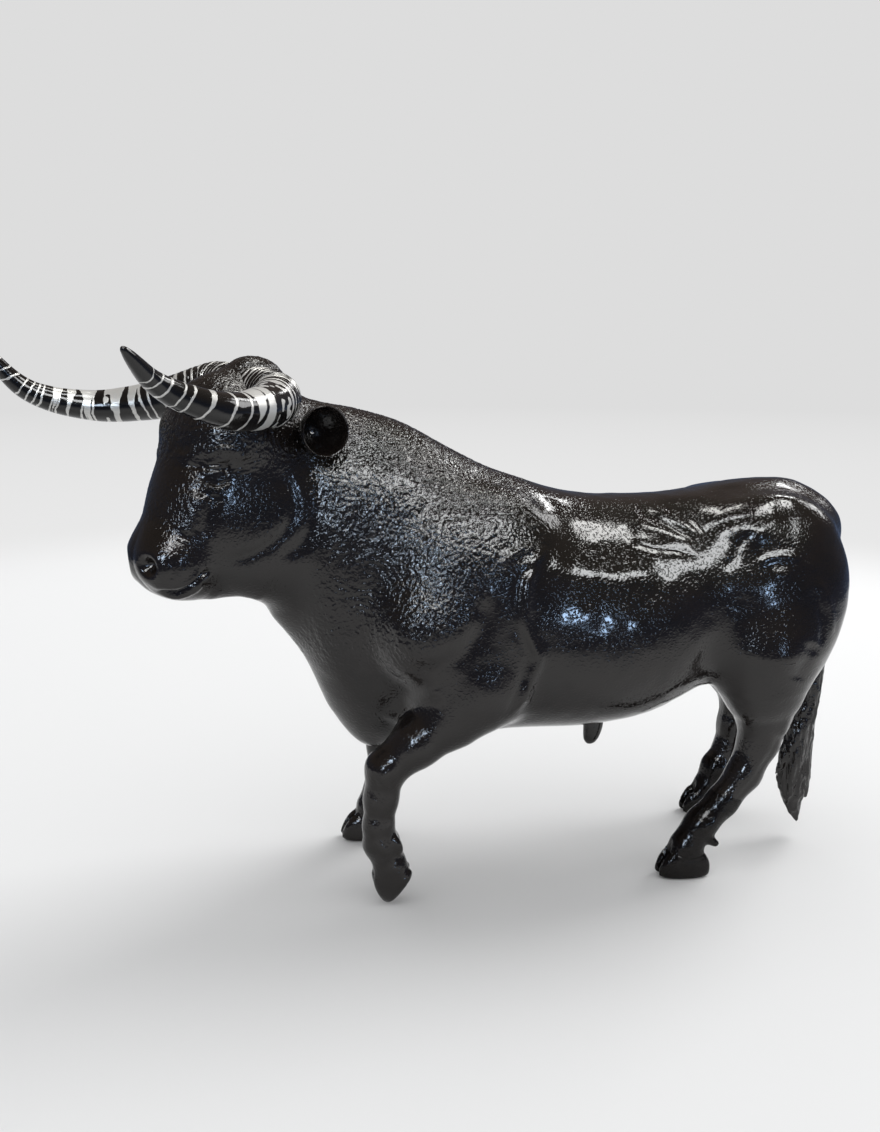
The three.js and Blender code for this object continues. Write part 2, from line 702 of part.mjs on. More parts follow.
function legCasting(name) {
  const leg = legs[name];
  const xs = leg.joints.map(([x]) => x);
  const low = [Math.min(...xs) - 60, leg.side > 0 ? 4 : -104, leg.joints[2][2] - 4];
  const high = [Math.max(...xs) + 70, leg.side > 0 ? 104 : -4, 190];
  const root = solid(skin(bodyClay, low, high, legStep));
  const shank = mirrored([...leg.joints.slice(1), leg.coronet], leg.side);
  const shaft = limbSweep(shank, [...leg.radii.slice(1), coronetRadius], legNarrow, 12, 14);
  const pieces = [solid(shaft), ...foot(leg)];
  const shaped = pieces.reduce((whole, piece) => whole.add(piece), root);
  const parted = shaped.intersect(legSpace(rootOf(name), leg.side, airGap / 2)).subtract(ground);
  return parted.subtract(solid(rod(rodLine(name), rodRadius, airGap)));
}

function headCasting() {
  const low = [-320, -100, 195];
  const high = [-140, 60, 400];
  let head = solid(skin(bodyClay, low, high, headStep)).intersect(headSpace(airGap / 2));
  const sockets = [
    ...Object.values(hornLines).map((horn) => hornGeometry(horn, airGap)),
    rod(hornBarLine(), rodRadius, airGap),
    rod(neckBarLine(), rodRadius, airGap),
    earGeometry(-1, airGap), earGeometry(1, airGap),
  ];
  for (const socket of sockets) head = head.subtract(solid(socket));
  return head;
}

// Assembly

const bull = new THREE.Group();
bull.position.set(...groundShift);

function place(name, geometry, finish) {
  const piece = new THREE.Mesh(geometry, new THREE.MeshStandardMaterial(finish));
  piece.name = name;
  bull.add(piece);
}

const trunk = trunkCasting();
const leftHalf = beyond([0, -airGap / 2, 0], [0, -1, 0]);
const rightHalf = beyond([0, airGap / 2, 0], [0, 1, 0]);
place('body_shell_left', surface(trunk.intersect(leftHalf)), lacquer);
place('body_shell_right', surface(trunk.intersect(rightHalf)), lacquer);
place('head_casting', surface(headCasting()), lacquer);
for (const name of Object.keys(legs)) {
  place(name, surface(legCasting(name)), lacquer);
  place(name.replace('leg', 'leg_rod'), legRod(name), steel);
}
for (const [name, horn] of Object.entries(hornLines)) {
  const bored = solid(hornGeometry(horn)).subtract(solid(rod(hornBarLine(), rodRadius, airGap)));
  place(name, surface(bored), hornPaint);
}
place('ear_left', earGeometry(-1), lacquer);
place('ear_right', earGeometry(1), lacquer);
const tailBore = solid(rod(tailWireLine(), tailWireRadius, airGap));
place('tail', surface(solid(tailGeometry()).subtract(tailBore)), lacquer);
place('tail_wire', rod(tailWireLine(), tailWireRadius), steel);
place('sheath', sheathGeometry(), lacquer);
place('spine_bar', spineBar(), steel);
place('front_cross_bar', crossBar(frontCross), steel);
place('rear_cross_bar', crossBar(rearCross), steel);
place('neck_bar', rod(neckBarLine(), rodRadius), steel);
place('horn_bar', rod(hornBarLine(), rodRadius), steel);

export default bull;
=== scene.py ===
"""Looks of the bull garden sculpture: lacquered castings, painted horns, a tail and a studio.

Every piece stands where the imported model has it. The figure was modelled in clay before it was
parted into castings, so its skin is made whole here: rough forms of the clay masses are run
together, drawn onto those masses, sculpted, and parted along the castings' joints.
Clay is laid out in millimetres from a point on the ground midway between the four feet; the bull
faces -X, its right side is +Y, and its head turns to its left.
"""

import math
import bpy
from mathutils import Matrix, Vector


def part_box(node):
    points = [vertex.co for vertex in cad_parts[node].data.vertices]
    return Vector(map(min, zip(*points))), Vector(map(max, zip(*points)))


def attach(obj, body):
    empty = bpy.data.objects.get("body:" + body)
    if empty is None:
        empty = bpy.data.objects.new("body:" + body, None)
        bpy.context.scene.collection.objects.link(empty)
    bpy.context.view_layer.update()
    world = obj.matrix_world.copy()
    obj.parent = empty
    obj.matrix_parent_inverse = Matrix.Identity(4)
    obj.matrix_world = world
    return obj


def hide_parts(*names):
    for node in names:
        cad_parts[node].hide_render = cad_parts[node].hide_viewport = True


bl_info = {
    "name": "Bull garden sculpture",
    "version": (1, 0, 0),
    "blender": (4, 5, 0),
    "location": "View3D > Sidebar > Bull",
    "description": "Sculpts and finishes the bull's castings, horns, ears and tail",
    "category": "Add Mesh",
}

import bpy
import numpy as np
from bpy.props import FloatProperty, FloatVectorProperty, PointerProperty
from mathutils import Matrix, Vector

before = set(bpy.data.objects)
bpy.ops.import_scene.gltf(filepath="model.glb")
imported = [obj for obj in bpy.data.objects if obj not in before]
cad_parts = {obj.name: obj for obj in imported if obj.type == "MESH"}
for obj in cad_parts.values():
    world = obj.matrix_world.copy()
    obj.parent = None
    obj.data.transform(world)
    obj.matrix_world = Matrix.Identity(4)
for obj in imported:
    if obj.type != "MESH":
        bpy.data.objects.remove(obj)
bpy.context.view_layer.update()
MM = 0.001

# The clay's layout point in the frame, from the spine bar that it was laid out round
SPINE_LOW, SPINE_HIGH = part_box("spine_bar")
SPINE_MIDDLE_X = 44.0
LAYOUT = np.array([
    (SPINE_LOW.x + SPINE_HIGH.x) / 2 - SPINE_MIDDLE_X * MM,
    (SPINE_LOW.y + SPINE_HIGH.y) / 2,
    0.0,
])

# Clay: each mass is a function of points that is negative inside and grows outside


def blend(a, b, width):
    """Two masses run into one another over a blend of this width."""
    near = np.maximum(width - np.abs(a - b), 0) / width
    return np.minimum(a, b) - near * near * width * 0.25


def blend_max(a, b, width):
    """What two masses have in common, with a blend of this width along their meeting."""
    return -blend(-a, -b, width)


def soft_step(value, low, high):
    """0 at the low value, 1 at the high one, and smooth between them."""
    t = np.clip((value - low) / (high - low), 0, 1)
    return t * t * (3 - 2 * t)


def pitched(p, degrees):
    """Points turned in the side view, so that what was pitched by these degrees lies level."""
    c, s = math.cos(math.radians(degrees)), math.sin(math.radians(degrees))
    return np.stack([p[:, 0] * c + p[:, 2] * s, p[:, 1], p[:, 2] * c - p[:, 0] * s], axis=1)


def on_side(point, side):
    """A point that is given on the right side, laid on the left (-1) or on the right (1)."""
    return point[0], side * point[1], point[2]


def folded(p):
    """Points with both sides laid on the right side."""
    return p * np.array([1, 0, 1]) + np.abs(p) * np.array([0, 1, 0])


def ellipsoid(p, centre, radii, pitch):
    """Negative inside an ellipsoid that is pitched in the side view."""
    q = pitched(p - np.array(centre, float), pitch)
    radii = np.array(radii, float)
    near = np.linalg.norm(q / radii, axis=1)
    slope = np.linalg.norm(q / radii**2, axis=1)
    return near * (near - 1) / np.maximum(slope, 1e-9)


def masses(p, rows, width, start=None):
    """Several ellipsoids run together."""
    total = start
    for centre, radii, pitch in rows:
        mass = ellipsoid(p, centre, radii, pitch)
        total = mass if total is None else blend(total, mass, width)
    return total


def limb(p, joints, radii, narrow):
    """Balls of changing radius, narrowed sideways, swept along a chain of joints."""
    nearest = np.full(len(p), 1e9)
    squash = np.array([1.0, 1.0 / narrow, 1.0])
    for start, end, r0, r1 in zip(joints, joints[1:], radii, radii[1:]):
        start, bone = np.array(start, float), np.array(end, float) - np.array(start, float)
        t = np.clip((p - start) @ bone / (bone @ bone), 0, 1)
        off = (p - start - t[:, None] * bone) * squash
        nearest = blend(nearest, np.linalg.norm(off, axis=1) - (r0 + (r1 - r0) * t), JOINT_BLEND)
    return nearest


def smooth_run(a, b, slope_a, slope_b, t):
    """Smooth values at shares t of the way from a to b, with these slopes at the two ends."""
    return ((2 * t**3 - 3 * t**2 + 1) * a + (t**3 - 2 * t**2 + t) * slope_a
            + (3 * t**2 - 2 * t**3) * b + (t**3 - t**2) * slope_b)


def smooth_table(x, rows):
    """Smooth values between the rows of a table whose first column is the place."""
    rows = np.array(rows, float)
    at = np.clip(x, rows[0, 0], rows[-1, 0])
    i = np.clip(np.searchsorted(rows[:, 0], at, side="right") - 1, 0, len(rows) - 2)
    before, a, b = rows[np.maximum(i - 1, 0)], rows[i], rows[i + 1]
    after = rows[np.minimum(i + 2, len(rows) - 1)]
    run = (b[:, 0] - a[:, 0])[:, None]
    t = (at - a[:, 0])[:, None] / run
    slope_a = (b - before) / (b[:, 0] - before[:, 0])[:, None] * run
    slope_b = (after - a) / (after[:, 0] - a[:, 0])[:, None] * run
    return smooth_run(a, b, slope_a, slope_b, t)[:, 1:]


# The trunk and neck, station by station from the throat back to the rump: place along X,
# topline, underline, half width, how far the widest level lies above the middle, and how
# round the lower half is (2 is an ellipse, less is a keel, more is a flat belly)
TRUNK_STATIONS = [
    (-222, 372, 232, 36, 0.10, 1.9),
    (-205, 369, 206, 40, 0.10, 1.8),
    (-185, 364, 178, 45, 0.12, 1.7),
    (-165, 359, 134, 52, 0.18, 1.7),
    (-140, 354, 103, 60, 0.20, 1.7),
    (-110, 344, 103, 69, 0.16, 1.8),
    (-75, 324, 107, 78, 0.10, 2.0),
    (-35, 307, 114, 82, -0.05, 2.3),
    (20, 291, 114, 84, -0.13, 2.3),
    (70, 288, 120, 81, -0.11, 2.3),
    (115, 291, 138, 73, 0.0, 2.3),
    (155, 297, 151, 64, 0.12, 2.2),
    (195, 297, 160, 52, 0.16, 2.2),
    (215, 287, 172, 38, 0.20, 2.2),
    (229, 262, 198, 18, 0.20, 2.2),
]
TRUNK_ENDS = (-214, 229)
BACK_ROUNDNESS = 2.1
NECK_BEND = (14, -120, 100)      # how far the neck bends to the left, from where, over what run

# Masses that stand on both sides of the trunk, the first three at its front: centre on the right
# side, radii, pitch
FLANK_MASSES = [
    ((-66, 50, 228), (54, 30, 72), -24),   # shoulder blade
    ((-98, 60, 202), (36, 24, 34), 0),     # point of the shoulder
    ((-66, 57, 166), (34, 25, 36), -20),   # upper arm and elbow
    ((171, 42, 226), (53, 34, 62), 10),    # rump
    ((152, 49.5, 195), (46, 30, 58), 16),  # stifle
    ((183, 46, 198), (34, 28, 54), -4),    # back of the thigh
    ((140, 44, 266), (24, 22, 18), 0),     # hip bone
    ((208, 22, 261), (20, 16, 20), 30),    # pin bone
]
NECK_HUMP = ((-118, 0, 292), (70, 48, 38), -18)

# Each leg: its side (-1 is the left), its radii, and its joints from the root down, which are
# given on the right side
LEG_RADII_FORE = (28, 22, 18, 14.5, 12, 10.8, 12, 12)
LEG_RADII_HIND = (39.1, 31, 20, 15.5, 12.8, 11, 12.2, 12)
LEGS = {
    "foreleg_left": (-1, LEG_RADII_FORE, (
        (-62, 55, 160), (-84, 56, 138), (-108, 56, 121), (-130, 55, 103), (-134, 55, 80),
        (-136, 55, 60), (-134.5, 54, 46), (-128, 54, 31))),
    "foreleg_right": (1, LEG_RADII_FORE, (
        (-62, 57, 160), (-84, 57, 140), (-103, 57, 122), (-116, 57, 103), (-118, 57, 80),
        (-119, 57, 60), (-120, 57, 44), (-127, 58, 28))),
    "hindleg_left": (-1, (38, 31, 20, 15.5, 13, 11.6, 12.2, 12), (
        (158, 53, 176), (157, 53, 146), (159, 53, 124), (156, 53, 104), (145, 53, 78),
        (129, 53, 57), (112, 53, 40), (101, 53, 25))),
    "hindleg_right": (1, LEG_RADII_HIND, (
        (164, 55, 176), (172, 57, 146), (184, 57, 124), (192, 57, 104), (188, 57, 78),
        (183, 57, 57), (174, 57, 40), (168, 57, 25))),
}
LEG_NARROW = 0.92
LEG_REACH_Z = 230.0

# How wide the masses are blended where they meet, in mm
JOINT_BLEND, FLANK_BLEND, TRUNK_BLEND, HUMP_BLEND = 5.0, 14, 18, 20
HEAD_BLEND, NECK_BLEND, LEG_BLEND = 12, 16, 14

# Feet: the toe's place, the length from toe to heel, the pitch of the sole, and where the
# dewclaws sit in the side view
FEET = {
    "foreleg_left": ((-128, 54, 1), 29, 53, (-123, 47)),
    "foreleg_right": ((-150, 58, 0), 38, 0, (-111, 37)),
    "hindleg_left": ((80, 53, 0), 38, 0, (119, 28)),
    "hindleg_right": ((145, 57, 0), 41, 0, (185, 31)),
}
CLAW_APART = 6.2                 # from the middle of a foot to the middle of each claw
CLAW_HALF = 6.6                  # half the width of a claw
CLAW_ROUNDNESS = 2.3
CLEFT_DEPTH, CLEFT_WIDTH = 2.6, 1.5
HOOF_REACH_Z = 70.0
FRONT_SLOPE = (-0.84, 0.54)      # the way the front wall of a hoof faces, along its sole and up
DEWCLAW_APART, DEWCLAW_RADII = 7.0, (6.8, 3.2, 3.0)


def foot_clay(p, name):
    """Two claws with a cleft between them, flat underneath, and two dewclaws behind."""
    toe, length, pitch, dewclaw = FEET[name]
    along, out, up = pitched(p - np.array(on_side(toe, LEGS[name][0])), pitch).T
    share = np.clip(along / length, 0, 1)      # claws are narrower and closer at the toe
    apart = CLAW_APART * (0.66 + 0.34 * np.sqrt(share))
    half = CLAW_HALF * (0.72 + 0.3 * np.sqrt(share))
    off = np.stack([(along - length * 0.47) / (length * 0.53), (np.abs(out) - apart) / half,
                    (up - 7) / 16], axis=1)
    box = ((np.abs(off) ** CLAW_ROUNDNESS).sum(axis=1) ** (1 / CLAW_ROUNDNESS) - 1) * half
    wall = (along + 3.2) * FRONT_SLOPE[0] + (up - 9.4) * FRONT_SLOPE[1]
    cleft = np.exp(-(out / CLEFT_WIDTH) ** 2) * soft_step(up, 21, 13)
    claws = blend_max(box, wall, 4) + CLEFT_DEPTH * cleft
    sole = -up
    buds = np.stack([p[:, 0], np.abs(out), p[:, 2]], axis=1)
    dewclaws = ellipsoid(buds, (dewclaw[0], DEWCLAW_APART, dewclaw[1]), DEWCLAW_RADII,
                         -35 - pitch * 0.6)
    return blend_max(claws, sole, 3), dewclaws


# The head, laid out from the poll: forward along the face, out to either side, and up
POLL = np.array([-219.0, -14.0, 389.0])
HEAD_TURN = math.radians(28)
FACE_WAY = np.array([-math.cos(HEAD_TURN), -math.sin(HEAD_TURN), 0.0])
SIDE_WAY = np.array([-math.sin(HEAD_TURN), math.cos(HEAD_TURN), 0.0])
UPRIGHT = np.array([0.0, 0.0, 1.0])
HEAD_MASSES = [
    ((7, 0, -52), (44, 46, 39), 0),        # cranium
    ((-7, 0, -11), (19, 17, 13), 10),      # tuft on the poll
    ((24, 20, -48), (28, 26, 24), 0),      # brow
    ((0, 20, -102), (50, 26, 60), -8),     # cheek
    ((33, 13, -98), (32, 22, 42), 8),      # side of the face
    ((14, 10, -138), (40, 20, 22), 4),     # jaw
    ((61, 6, -133), (28, 25, 23), 20),     # muzzle
    ((46, 0, -148), (26, 18, 11), 6),      # chin
]
FACE_RIDGE = (((18, 0, -44), (52, 0, -116)), (36, 29), 0.95)


def from_head(points):
    """A point or points of the head's layout, in the clay's layout."""
    h = np.array(points, float)
    return POLL + h[..., :1] * FACE_WAY + h[..., 1:2] * SIDE_WAY + h[..., 2:] * UPRIGHT


def to_head(p):
    """Points of the clay's layout, in the head's layout."""
    d = p - POLL
    return np.stack([d @ FACE_WAY, d @ SIDE_WAY, d[:, 2]], axis=1)


def trunk_section(x):
    """The trunk at places along X: its topline, middle, underline, half width, lower roundness
    and how far it is bent to the left."""
    top, bottom, half, rise, keel = smooth_table(x, TRUNK_STATIONS).T
    middle = bottom + (top - bottom) * (0.5 + rise / 2)
    bend, start, run = NECK_BEND
    swing = bend * np.clip((start - x) / run, 0, 1) ** 2
    return top, middle, bottom, half, keel, swing


def trunk_clay(p):
    """The closed trunk and neck, without the masses that stand on it."""
    top, middle, bottom, half, keel, swing = trunk_section(p[:, 0])
    upper = p[:, 2] > middle
    reach = np.where(upper, top - middle, middle - bottom)
    power = np.where(upper, BACK_ROUNDNESS, keel)
    across = np.abs(p[:, 1] + swing) / half
    up = np.abs(p[:, 2] - middle) / reach
    shell = ((across**power + up**power) ** (1 / power) - 1) * np.minimum(half, reach)
    closed = blend_max(shell, p[:, 0] - TRUNK_ENDS[1], 16)
    return blend_max(closed, TRUNK_ENDS[0] - p[:, 0], 10)


def head_clay(p):
    """The head: its masses on both sides of the ridge of the face."""
    h = to_head(p)
    return masses(folded(h), HEAD_MASSES, HEAD_BLEND, limb(h, *FACE_RIDGE))


# How far back and forward each group of masses can be felt in the clay
HEAD_REACH_X = -130.0
FRONT_REACH_X = 40.0
REAR_REACH_X = 75.0


def body_clay(p):
    """The whole figure's clay: negative inside, and growing with distance outside, in mm."""
    total = trunk_clay(p)
    x = p[:, 0]
    for near, rows in ((x < FRONT_REACH_X, FLANK_MASSES[:3]), (x > REAR_REACH_X, FLANK_MASSES[3:])):
        flank = masses(folded(p[near]), rows, FLANK_BLEND)
        total[near] = blend(total[near], flank, TRUNK_BLEND)
    near = x < FRONT_REACH_X
    total[near] = blend(total[near], ellipsoid(p[near], *NECK_HUMP), HUMP_BLEND)
    near = x < HEAD_REACH_X
    total[near] = blend(total[near], head_clay(p[near]), NECK_BLEND)
    for name, (side, radii, joints) in LEGS.items():
        front = joints[0][0] < 0
        near = (side * p[:, 1] > 0) & (p[:, 2] < LEG_REACH_Z)
        near &= x < FRONT_REACH_X if front else x > REAR_REACH_X
        leg = limb(p[near], [on_side(joint, side) for joint in joints], radii, LEG_NARROW)
        total[near] = blend(total[near], leg, LEG_BLEND)
        low = near & (p[:, 2] < HOOF_REACH_Z)
        claws, dewclaws = foot_clay(p[low], name)
        total[low] = blend(blend(total[low], claws, 5), dewclaws, 4)
    return total


# Mesh work shared by the pieces


def deselect():
    bpy.ops.object.select_all(action="DESELECT")


def activate(piece):
    deselect()
    bpy.context.view_layer.objects.active = piece
    piece.select_set(True)


def read_vertices(piece, what="co"):
    """The places of a piece's vertices as its mesh holds them, or their normals."""
    values = np.empty(len(piece.data.vertices) * 3)
    piece.data.vertices.foreach_get(what, values)
    return values.reshape(-1, 3)


def read_points(piece):
    """A piece's vertices in the clay's layout, in mm."""
    return (read_vertices(piece) - LAYOUT) / MM


def write_points(piece, p):
    """Puts a piece's vertices at points of the clay's layout."""
    piece.data.vertices.foreach_set("co", (p * MM + LAYOUT).ravel())
    piece.data.update()


def corners_of(parts, count):
    """The numbers of the vertices at the corners of a mesh's edges or faces."""
    corners = np.empty(len(parts) * count, np.int64)
    parts.foreach_get("vertices", corners)
    return corners.reshape(-1, count)


def note(piece, name, values):
    """Keeps a number on each point of a piece, for its material."""
    noted = piece.data.attributes.new(name, "FLOAT", "POINT")
    noted.data.foreach_set("value", values)


def recalculate_outward(piece, doubles=1e-6):
    """Merges a closed piece's doubles and turns its faces outwards."""
    activate(piece)
    bpy.ops.object.mode_set(mode="EDIT")
    bpy.ops.mesh.select_all(action="SELECT")
    bpy.ops.mesh.remove_doubles(threshold=doubles)
    bpy.ops.mesh.normals_make_consistent(inside=False)
    bpy.ops.object.mode_set(mode="OBJECT")


def ball(centre, radii, pitch=0.0, place=lambda p: p):
    """A ball stretched to its radii and pitched in the side view."""
    deselect()
    bpy.ops.mesh.primitive_uv_sphere_add(segments=32, ring_count=20, radius=1)
    piece = bpy.context.object
    stretched = pitched(read_vertices(piece) * np.array(radii, float), -pitch)
    write_points(piece, place(stretched + np.array(centre, float)))
    return piece


def rolled(name, around, along, place):
    """A closed tube rolled from a flat grid: place gives a point for each share along and round."""
    deselect()
    bpy.ops.mesh.primitive_grid_add(x_subdivisions=along, y_subdivisions=around, size=1)
    piece = bpy.context.object
    piece.name = piece.data.name = name
    flat = read_vertices(piece) + 0.5
    write_points(piece, place(flat[:, 0], flat[:, 1]))
    recalculate_outward(piece)
    return piece


def joined(name, pieces):
    """Several pieces joined into one."""
    deselect()
    for piece in pieces:
        piece.select_set(True)
    bpy.context.view_layer.objects.active = pieces[0]
    bpy.ops.object.join()
    whole = bpy.context.object
    whole.name = whole.data.name = name
    return whole


def applied(piece, kind, **settings):
    """A piece with one modifier applied."""
    activate(piece)
    modifier = piece.modifiers.new(kind.lower(), kind)
    for key, value in settings.items():
        setattr(modifier, key, value)
    bpy.ops.object.modifier_apply(modifier=modifier.name)
    return piece


def run_together(name, pieces, grain):
    """Closed pieces run together into one closed skin of even grain, in mm."""
    whole = joined(name, pieces)
    recalculate_outward(whole, doubles=0)
    return applied(whole, "REMESH", mode="VOXEL", voxel_size=grain * MM)


def parted(piece, operation, tool):
    """A piece cut by a tool, or joined to it."""
    return applied(piece, "BOOLEAN", operation=operation, solver="MANIFOLD", object=tool)


def copied(piece, name):
    """A copy of a piece, with its own mesh."""
    twin = piece.copy()
    twin.data = piece.data.copy()
    twin.name = twin.data.name = name
    bpy.context.scene.collection.objects.link(twin)
    return twin


def thrown_away(*pieces):
    for piece in pieces:
        bpy.data.meshes.remove(piece.data)


def eased(piece, rounds):
    """Moves a piece's points halfway to the middle of their neighbours, several times."""
    p = read_points(piece)
    a, b = corners_of(piece.data.edges, 2).T
    count = np.bincount(np.concatenate([a, b]), minlength=len(p))[:, None]
    for _ in range(rounds):
        total = np.stack([np.bincount(a, p[b, k], len(p)) + np.bincount(b, p[a, k], len(p))
                          for k in range(3)], axis=1)
        p = p + 0.5 * (total / count - p)
    write_points(piece, p)


CURVE_STEPS = 48                 # steps in which each span of a curve is drawn
CURVE_REACH = 0.004              # share of a curve, before and after, that gives its direction


def curve_points(points, share):
    """Points and directions at shares of the length of a smooth curve through the given points,
    and that length."""
    knots = np.array(points, float)
    knots = np.vstack([2 * knots[0] - knots[1], knots, 2 * knots[-1] - knots[-2]])
    t = np.linspace(0, 1, CURVE_STEPS, endpoint=False)[:, None]
    spans = []
    for p0, p1, p2, p3 in zip(knots, knots[1:], knots[2:], knots[3:]):
        d0, d1, d2 = (np.linalg.norm(b - a) ** 0.5 for a, b in ((p0, p1), (p1, p2), (p2, p3)))
        slope1 = ((p1 - p0) / d0 - (p2 - p0) / (d0 + d1) + (p2 - p1) / d1) * d1
        slope2 = ((p2 - p1) / d1 - (p3 - p1) / (d1 + d2) + (p3 - p2) / d2) * d1
        spans.append(smooth_run(p1, p2, slope1, slope2, t))
    line = np.vstack(spans + [knots[-2]])
    reached = np.concatenate([[0], np.cumsum(np.linalg.norm(np.diff(line, axis=0), axis=1))])

    def at(place):
        far = np.clip(place, 0, 1) * reached[-1]
        return np.stack([np.interp(far, reached, line[:, k]) for k in range(3)], axis=1)

    way = at(np.asarray(share) + CURVE_REACH) - at(np.asarray(share) - CURVE_REACH)
    return at(share), way / np.linalg.norm(way, axis=1, keepdims=True), reached[-1]


def square_to(way, top):
    """The direction square to each way that leans most towards the top direction."""
    upward = np.array(top, float) - way * (way @ np.array(top, float))[..., None]
    return upward / np.linalg.norm(upward, axis=-1, keepdims=True)


def tube_points(points, u, v, deep, wide, top):
    """Points round a tube: deep is its radius along the top direction, wide is across it."""
    centre, way, _ = curve_points(points, u)
    upward = square_to(way, top)
    side = np.cross(way, upward)
    angle = 2 * np.pi * v
    return (centre + (deep * np.cos(angle))[:, None] * upward
            + (wide * np.sin(angle))[:, None] * side)


def closing(u, rounding=0.0):
    """1 along a tube and 0 at its very ends, which closes it; a rounding domes each end."""
    near = np.minimum(u, 1 - u)
    if rounding == 0:
        return (near > 1e-6).astype(float)
    dome = np.clip(near / rounding, 0, 1)
    return np.sqrt(np.maximum(1 - (1 - dome) ** 2, 0))


# The castings, made as one clay figure

SKIN_GRAIN = 2.0                 # size of the skin's faces, in mm; half of it where it is refined
CORE_GRAIN = 7.0
TRUNK_WALL = 6.0
FINE_LEG_TOP = 100.0             # the skin is refined on the legs up to this height
DRAWN_AT_ONCE = 8.0              # how far, in mm, one pass may draw a point to the clay


def clay_forms():
    """Rough closed forms of every mass, near enough to the clay to be drawn onto it."""
    def trunk_place(u, v):
        # the rough form ends 4 and 6 mm short of the clay, whose ends are blended round
        x = TRUNK_ENDS[0] + 4 + u * (TRUNK_ENDS[1] - TRUNK_ENDS[0] - 10)
        top, middle, bottom, half, keel, swing = trunk_section(x)
        c, s = np.cos(2 * np.pi * v), np.sin(2 * np.pi * v)
        power = np.where(s > 0, BACK_ROUNDNESS, keel)
        reach = np.where(s > 0, top - middle, middle - bottom)
        size = closing(u)
        y = half * np.sign(c) * np.abs(c) ** (2 / power) * size - swing
        z = middle + reach * np.sign(s) * np.abs(s) ** (2 / power) * size
        return np.stack([x, y, z], axis=1)

    forms = [rolled("trunk_form", 64, 110, trunk_place)]
    for side in (-1, 1):
        for centre, radii, pitch in FLANK_MASSES:
            forms.append(ball(on_side(centre, side), radii, pitch))
        for centre, radii, pitch in HEAD_MASSES:
            if side > 0 or centre[1] != 0:
                forms.append(ball(on_side(centre, side), radii, pitch, place=from_head))
    forms.append(ball(*NECK_HUMP))
    joints, radii, narrow = FACE_RIDGE
    ridge = [np.array(joint, float) for joint in joints]
    for share in np.linspace(0, 1, 7):
        r = radii[0] + (radii[1] - radii[0]) * share
        at = ridge[0] + (ridge[1] - ridge[0]) * share
        forms.append(ball(at, (r, r * narrow, r), place=from_head))
    for name, (side, radii, joints) in LEGS.items():
        forms.append(limb_form([on_side(joint, side) for joint in joints], radii))
        forms += foot_forms(name)
    return forms


def foot_forms(name):
    """Balls along a hoof's sole, and one in each dewclaw."""
    toe, length, pitch, dewclaw = FEET[name]
    side, tilt = LEGS[name][0], math.radians(pitch)
    forms = [ball((dewclaw[0], side * toe[1] + out, dewclaw[1]), (6, 4, 4.5)) for out in (-7, 7)]
    for share, z, size in ((0.2, 7, 6.5), (0.5, 9, 9), (0.8, 8, 7)):
        x = length * share
        at = (toe[0] + x * math.cos(tilt) - z * math.sin(tilt), side * toe[1],
              max(toe[2] + x * math.sin(tilt) + z * math.cos(tilt), size))
        forms.append(ball(at, (size, 10.5, size)))
    return forms


def limb_form(joints, radii):
    """A bar along a limb, run on past its last joint."""
    joints = [np.array(joint, float) for joint in joints]
    last = joints[-1] - joints[-2]
    joints.append(joints[-1] + last / np.linalg.norm(last) * radii[-1] * 0.9)
    radii = (*radii, radii[-1] * 0.5)
    gaps = [np.linalg.norm(b - a) for a, b in zip(joints, joints[1:])]
    reached = np.concatenate([[0], np.cumsum(gaps)]) / sum(gaps)

    def place(u, v):
        r = np.interp(u, reached, radii) * closing(u)
        return tube_points(joints, u, v, r, r * LEG_NARROW, (1, 0, 0.2))

    return rolled("limb_form", 32, 90, place)


def clay_slope(p, values):
    """The clay's slope at points whose values are known."""
    step = 0.2
    return np.stack([(body_clay(p + step * np.eye(3)[axis]) - values) / step
                     for axis in range(3)], axis=1)


def drawn_to_clay(figure, level=0.0, passes=4):
    """Moves a figure's skin along the clay's slope until the clay has this value there."""
    p = read_points(figure)
    for done in range(passes):
        values = body_clay(p)
        if done < 2:
            slope = clay_slope(p, values)
            steep = np.maximum((slope**2).sum(axis=1), 0.05)
        move = ((values - level) / steep)[:, None] * slope
        far = np.linalg.norm(move, axis=1, keepdims=True)
        p = p - move * np.minimum(1, DRAWN_AT_ONCE / np.maximum(far, 1e-9))
    write_points(figure, p)


def clay_figure(name, grain):
    """The whole figure's clay as one closed skin."""
    figure = run_together(name, clay_forms(), grain)
    eased(figure, 3)
    drawn_to_clay(figure)
    eased(figure, 3)
    drawn_to_clay(figure, passes=1)
    return figure


def clay_core(figure):
    """The space inside the trunk's wall."""
    core = applied(copied(figure, "core"), "REMESH", mode="VOXEL", voxel_size=CORE_GRAIN * MM)
    drawn_to_clay(core, -TRUNK_WALL)
    return core


# Sculpting: ridges and grooves are drawn on the side view of the clay, as (x, z) for the body
# and (forward, up) for the head, and pressed into both sides or into one

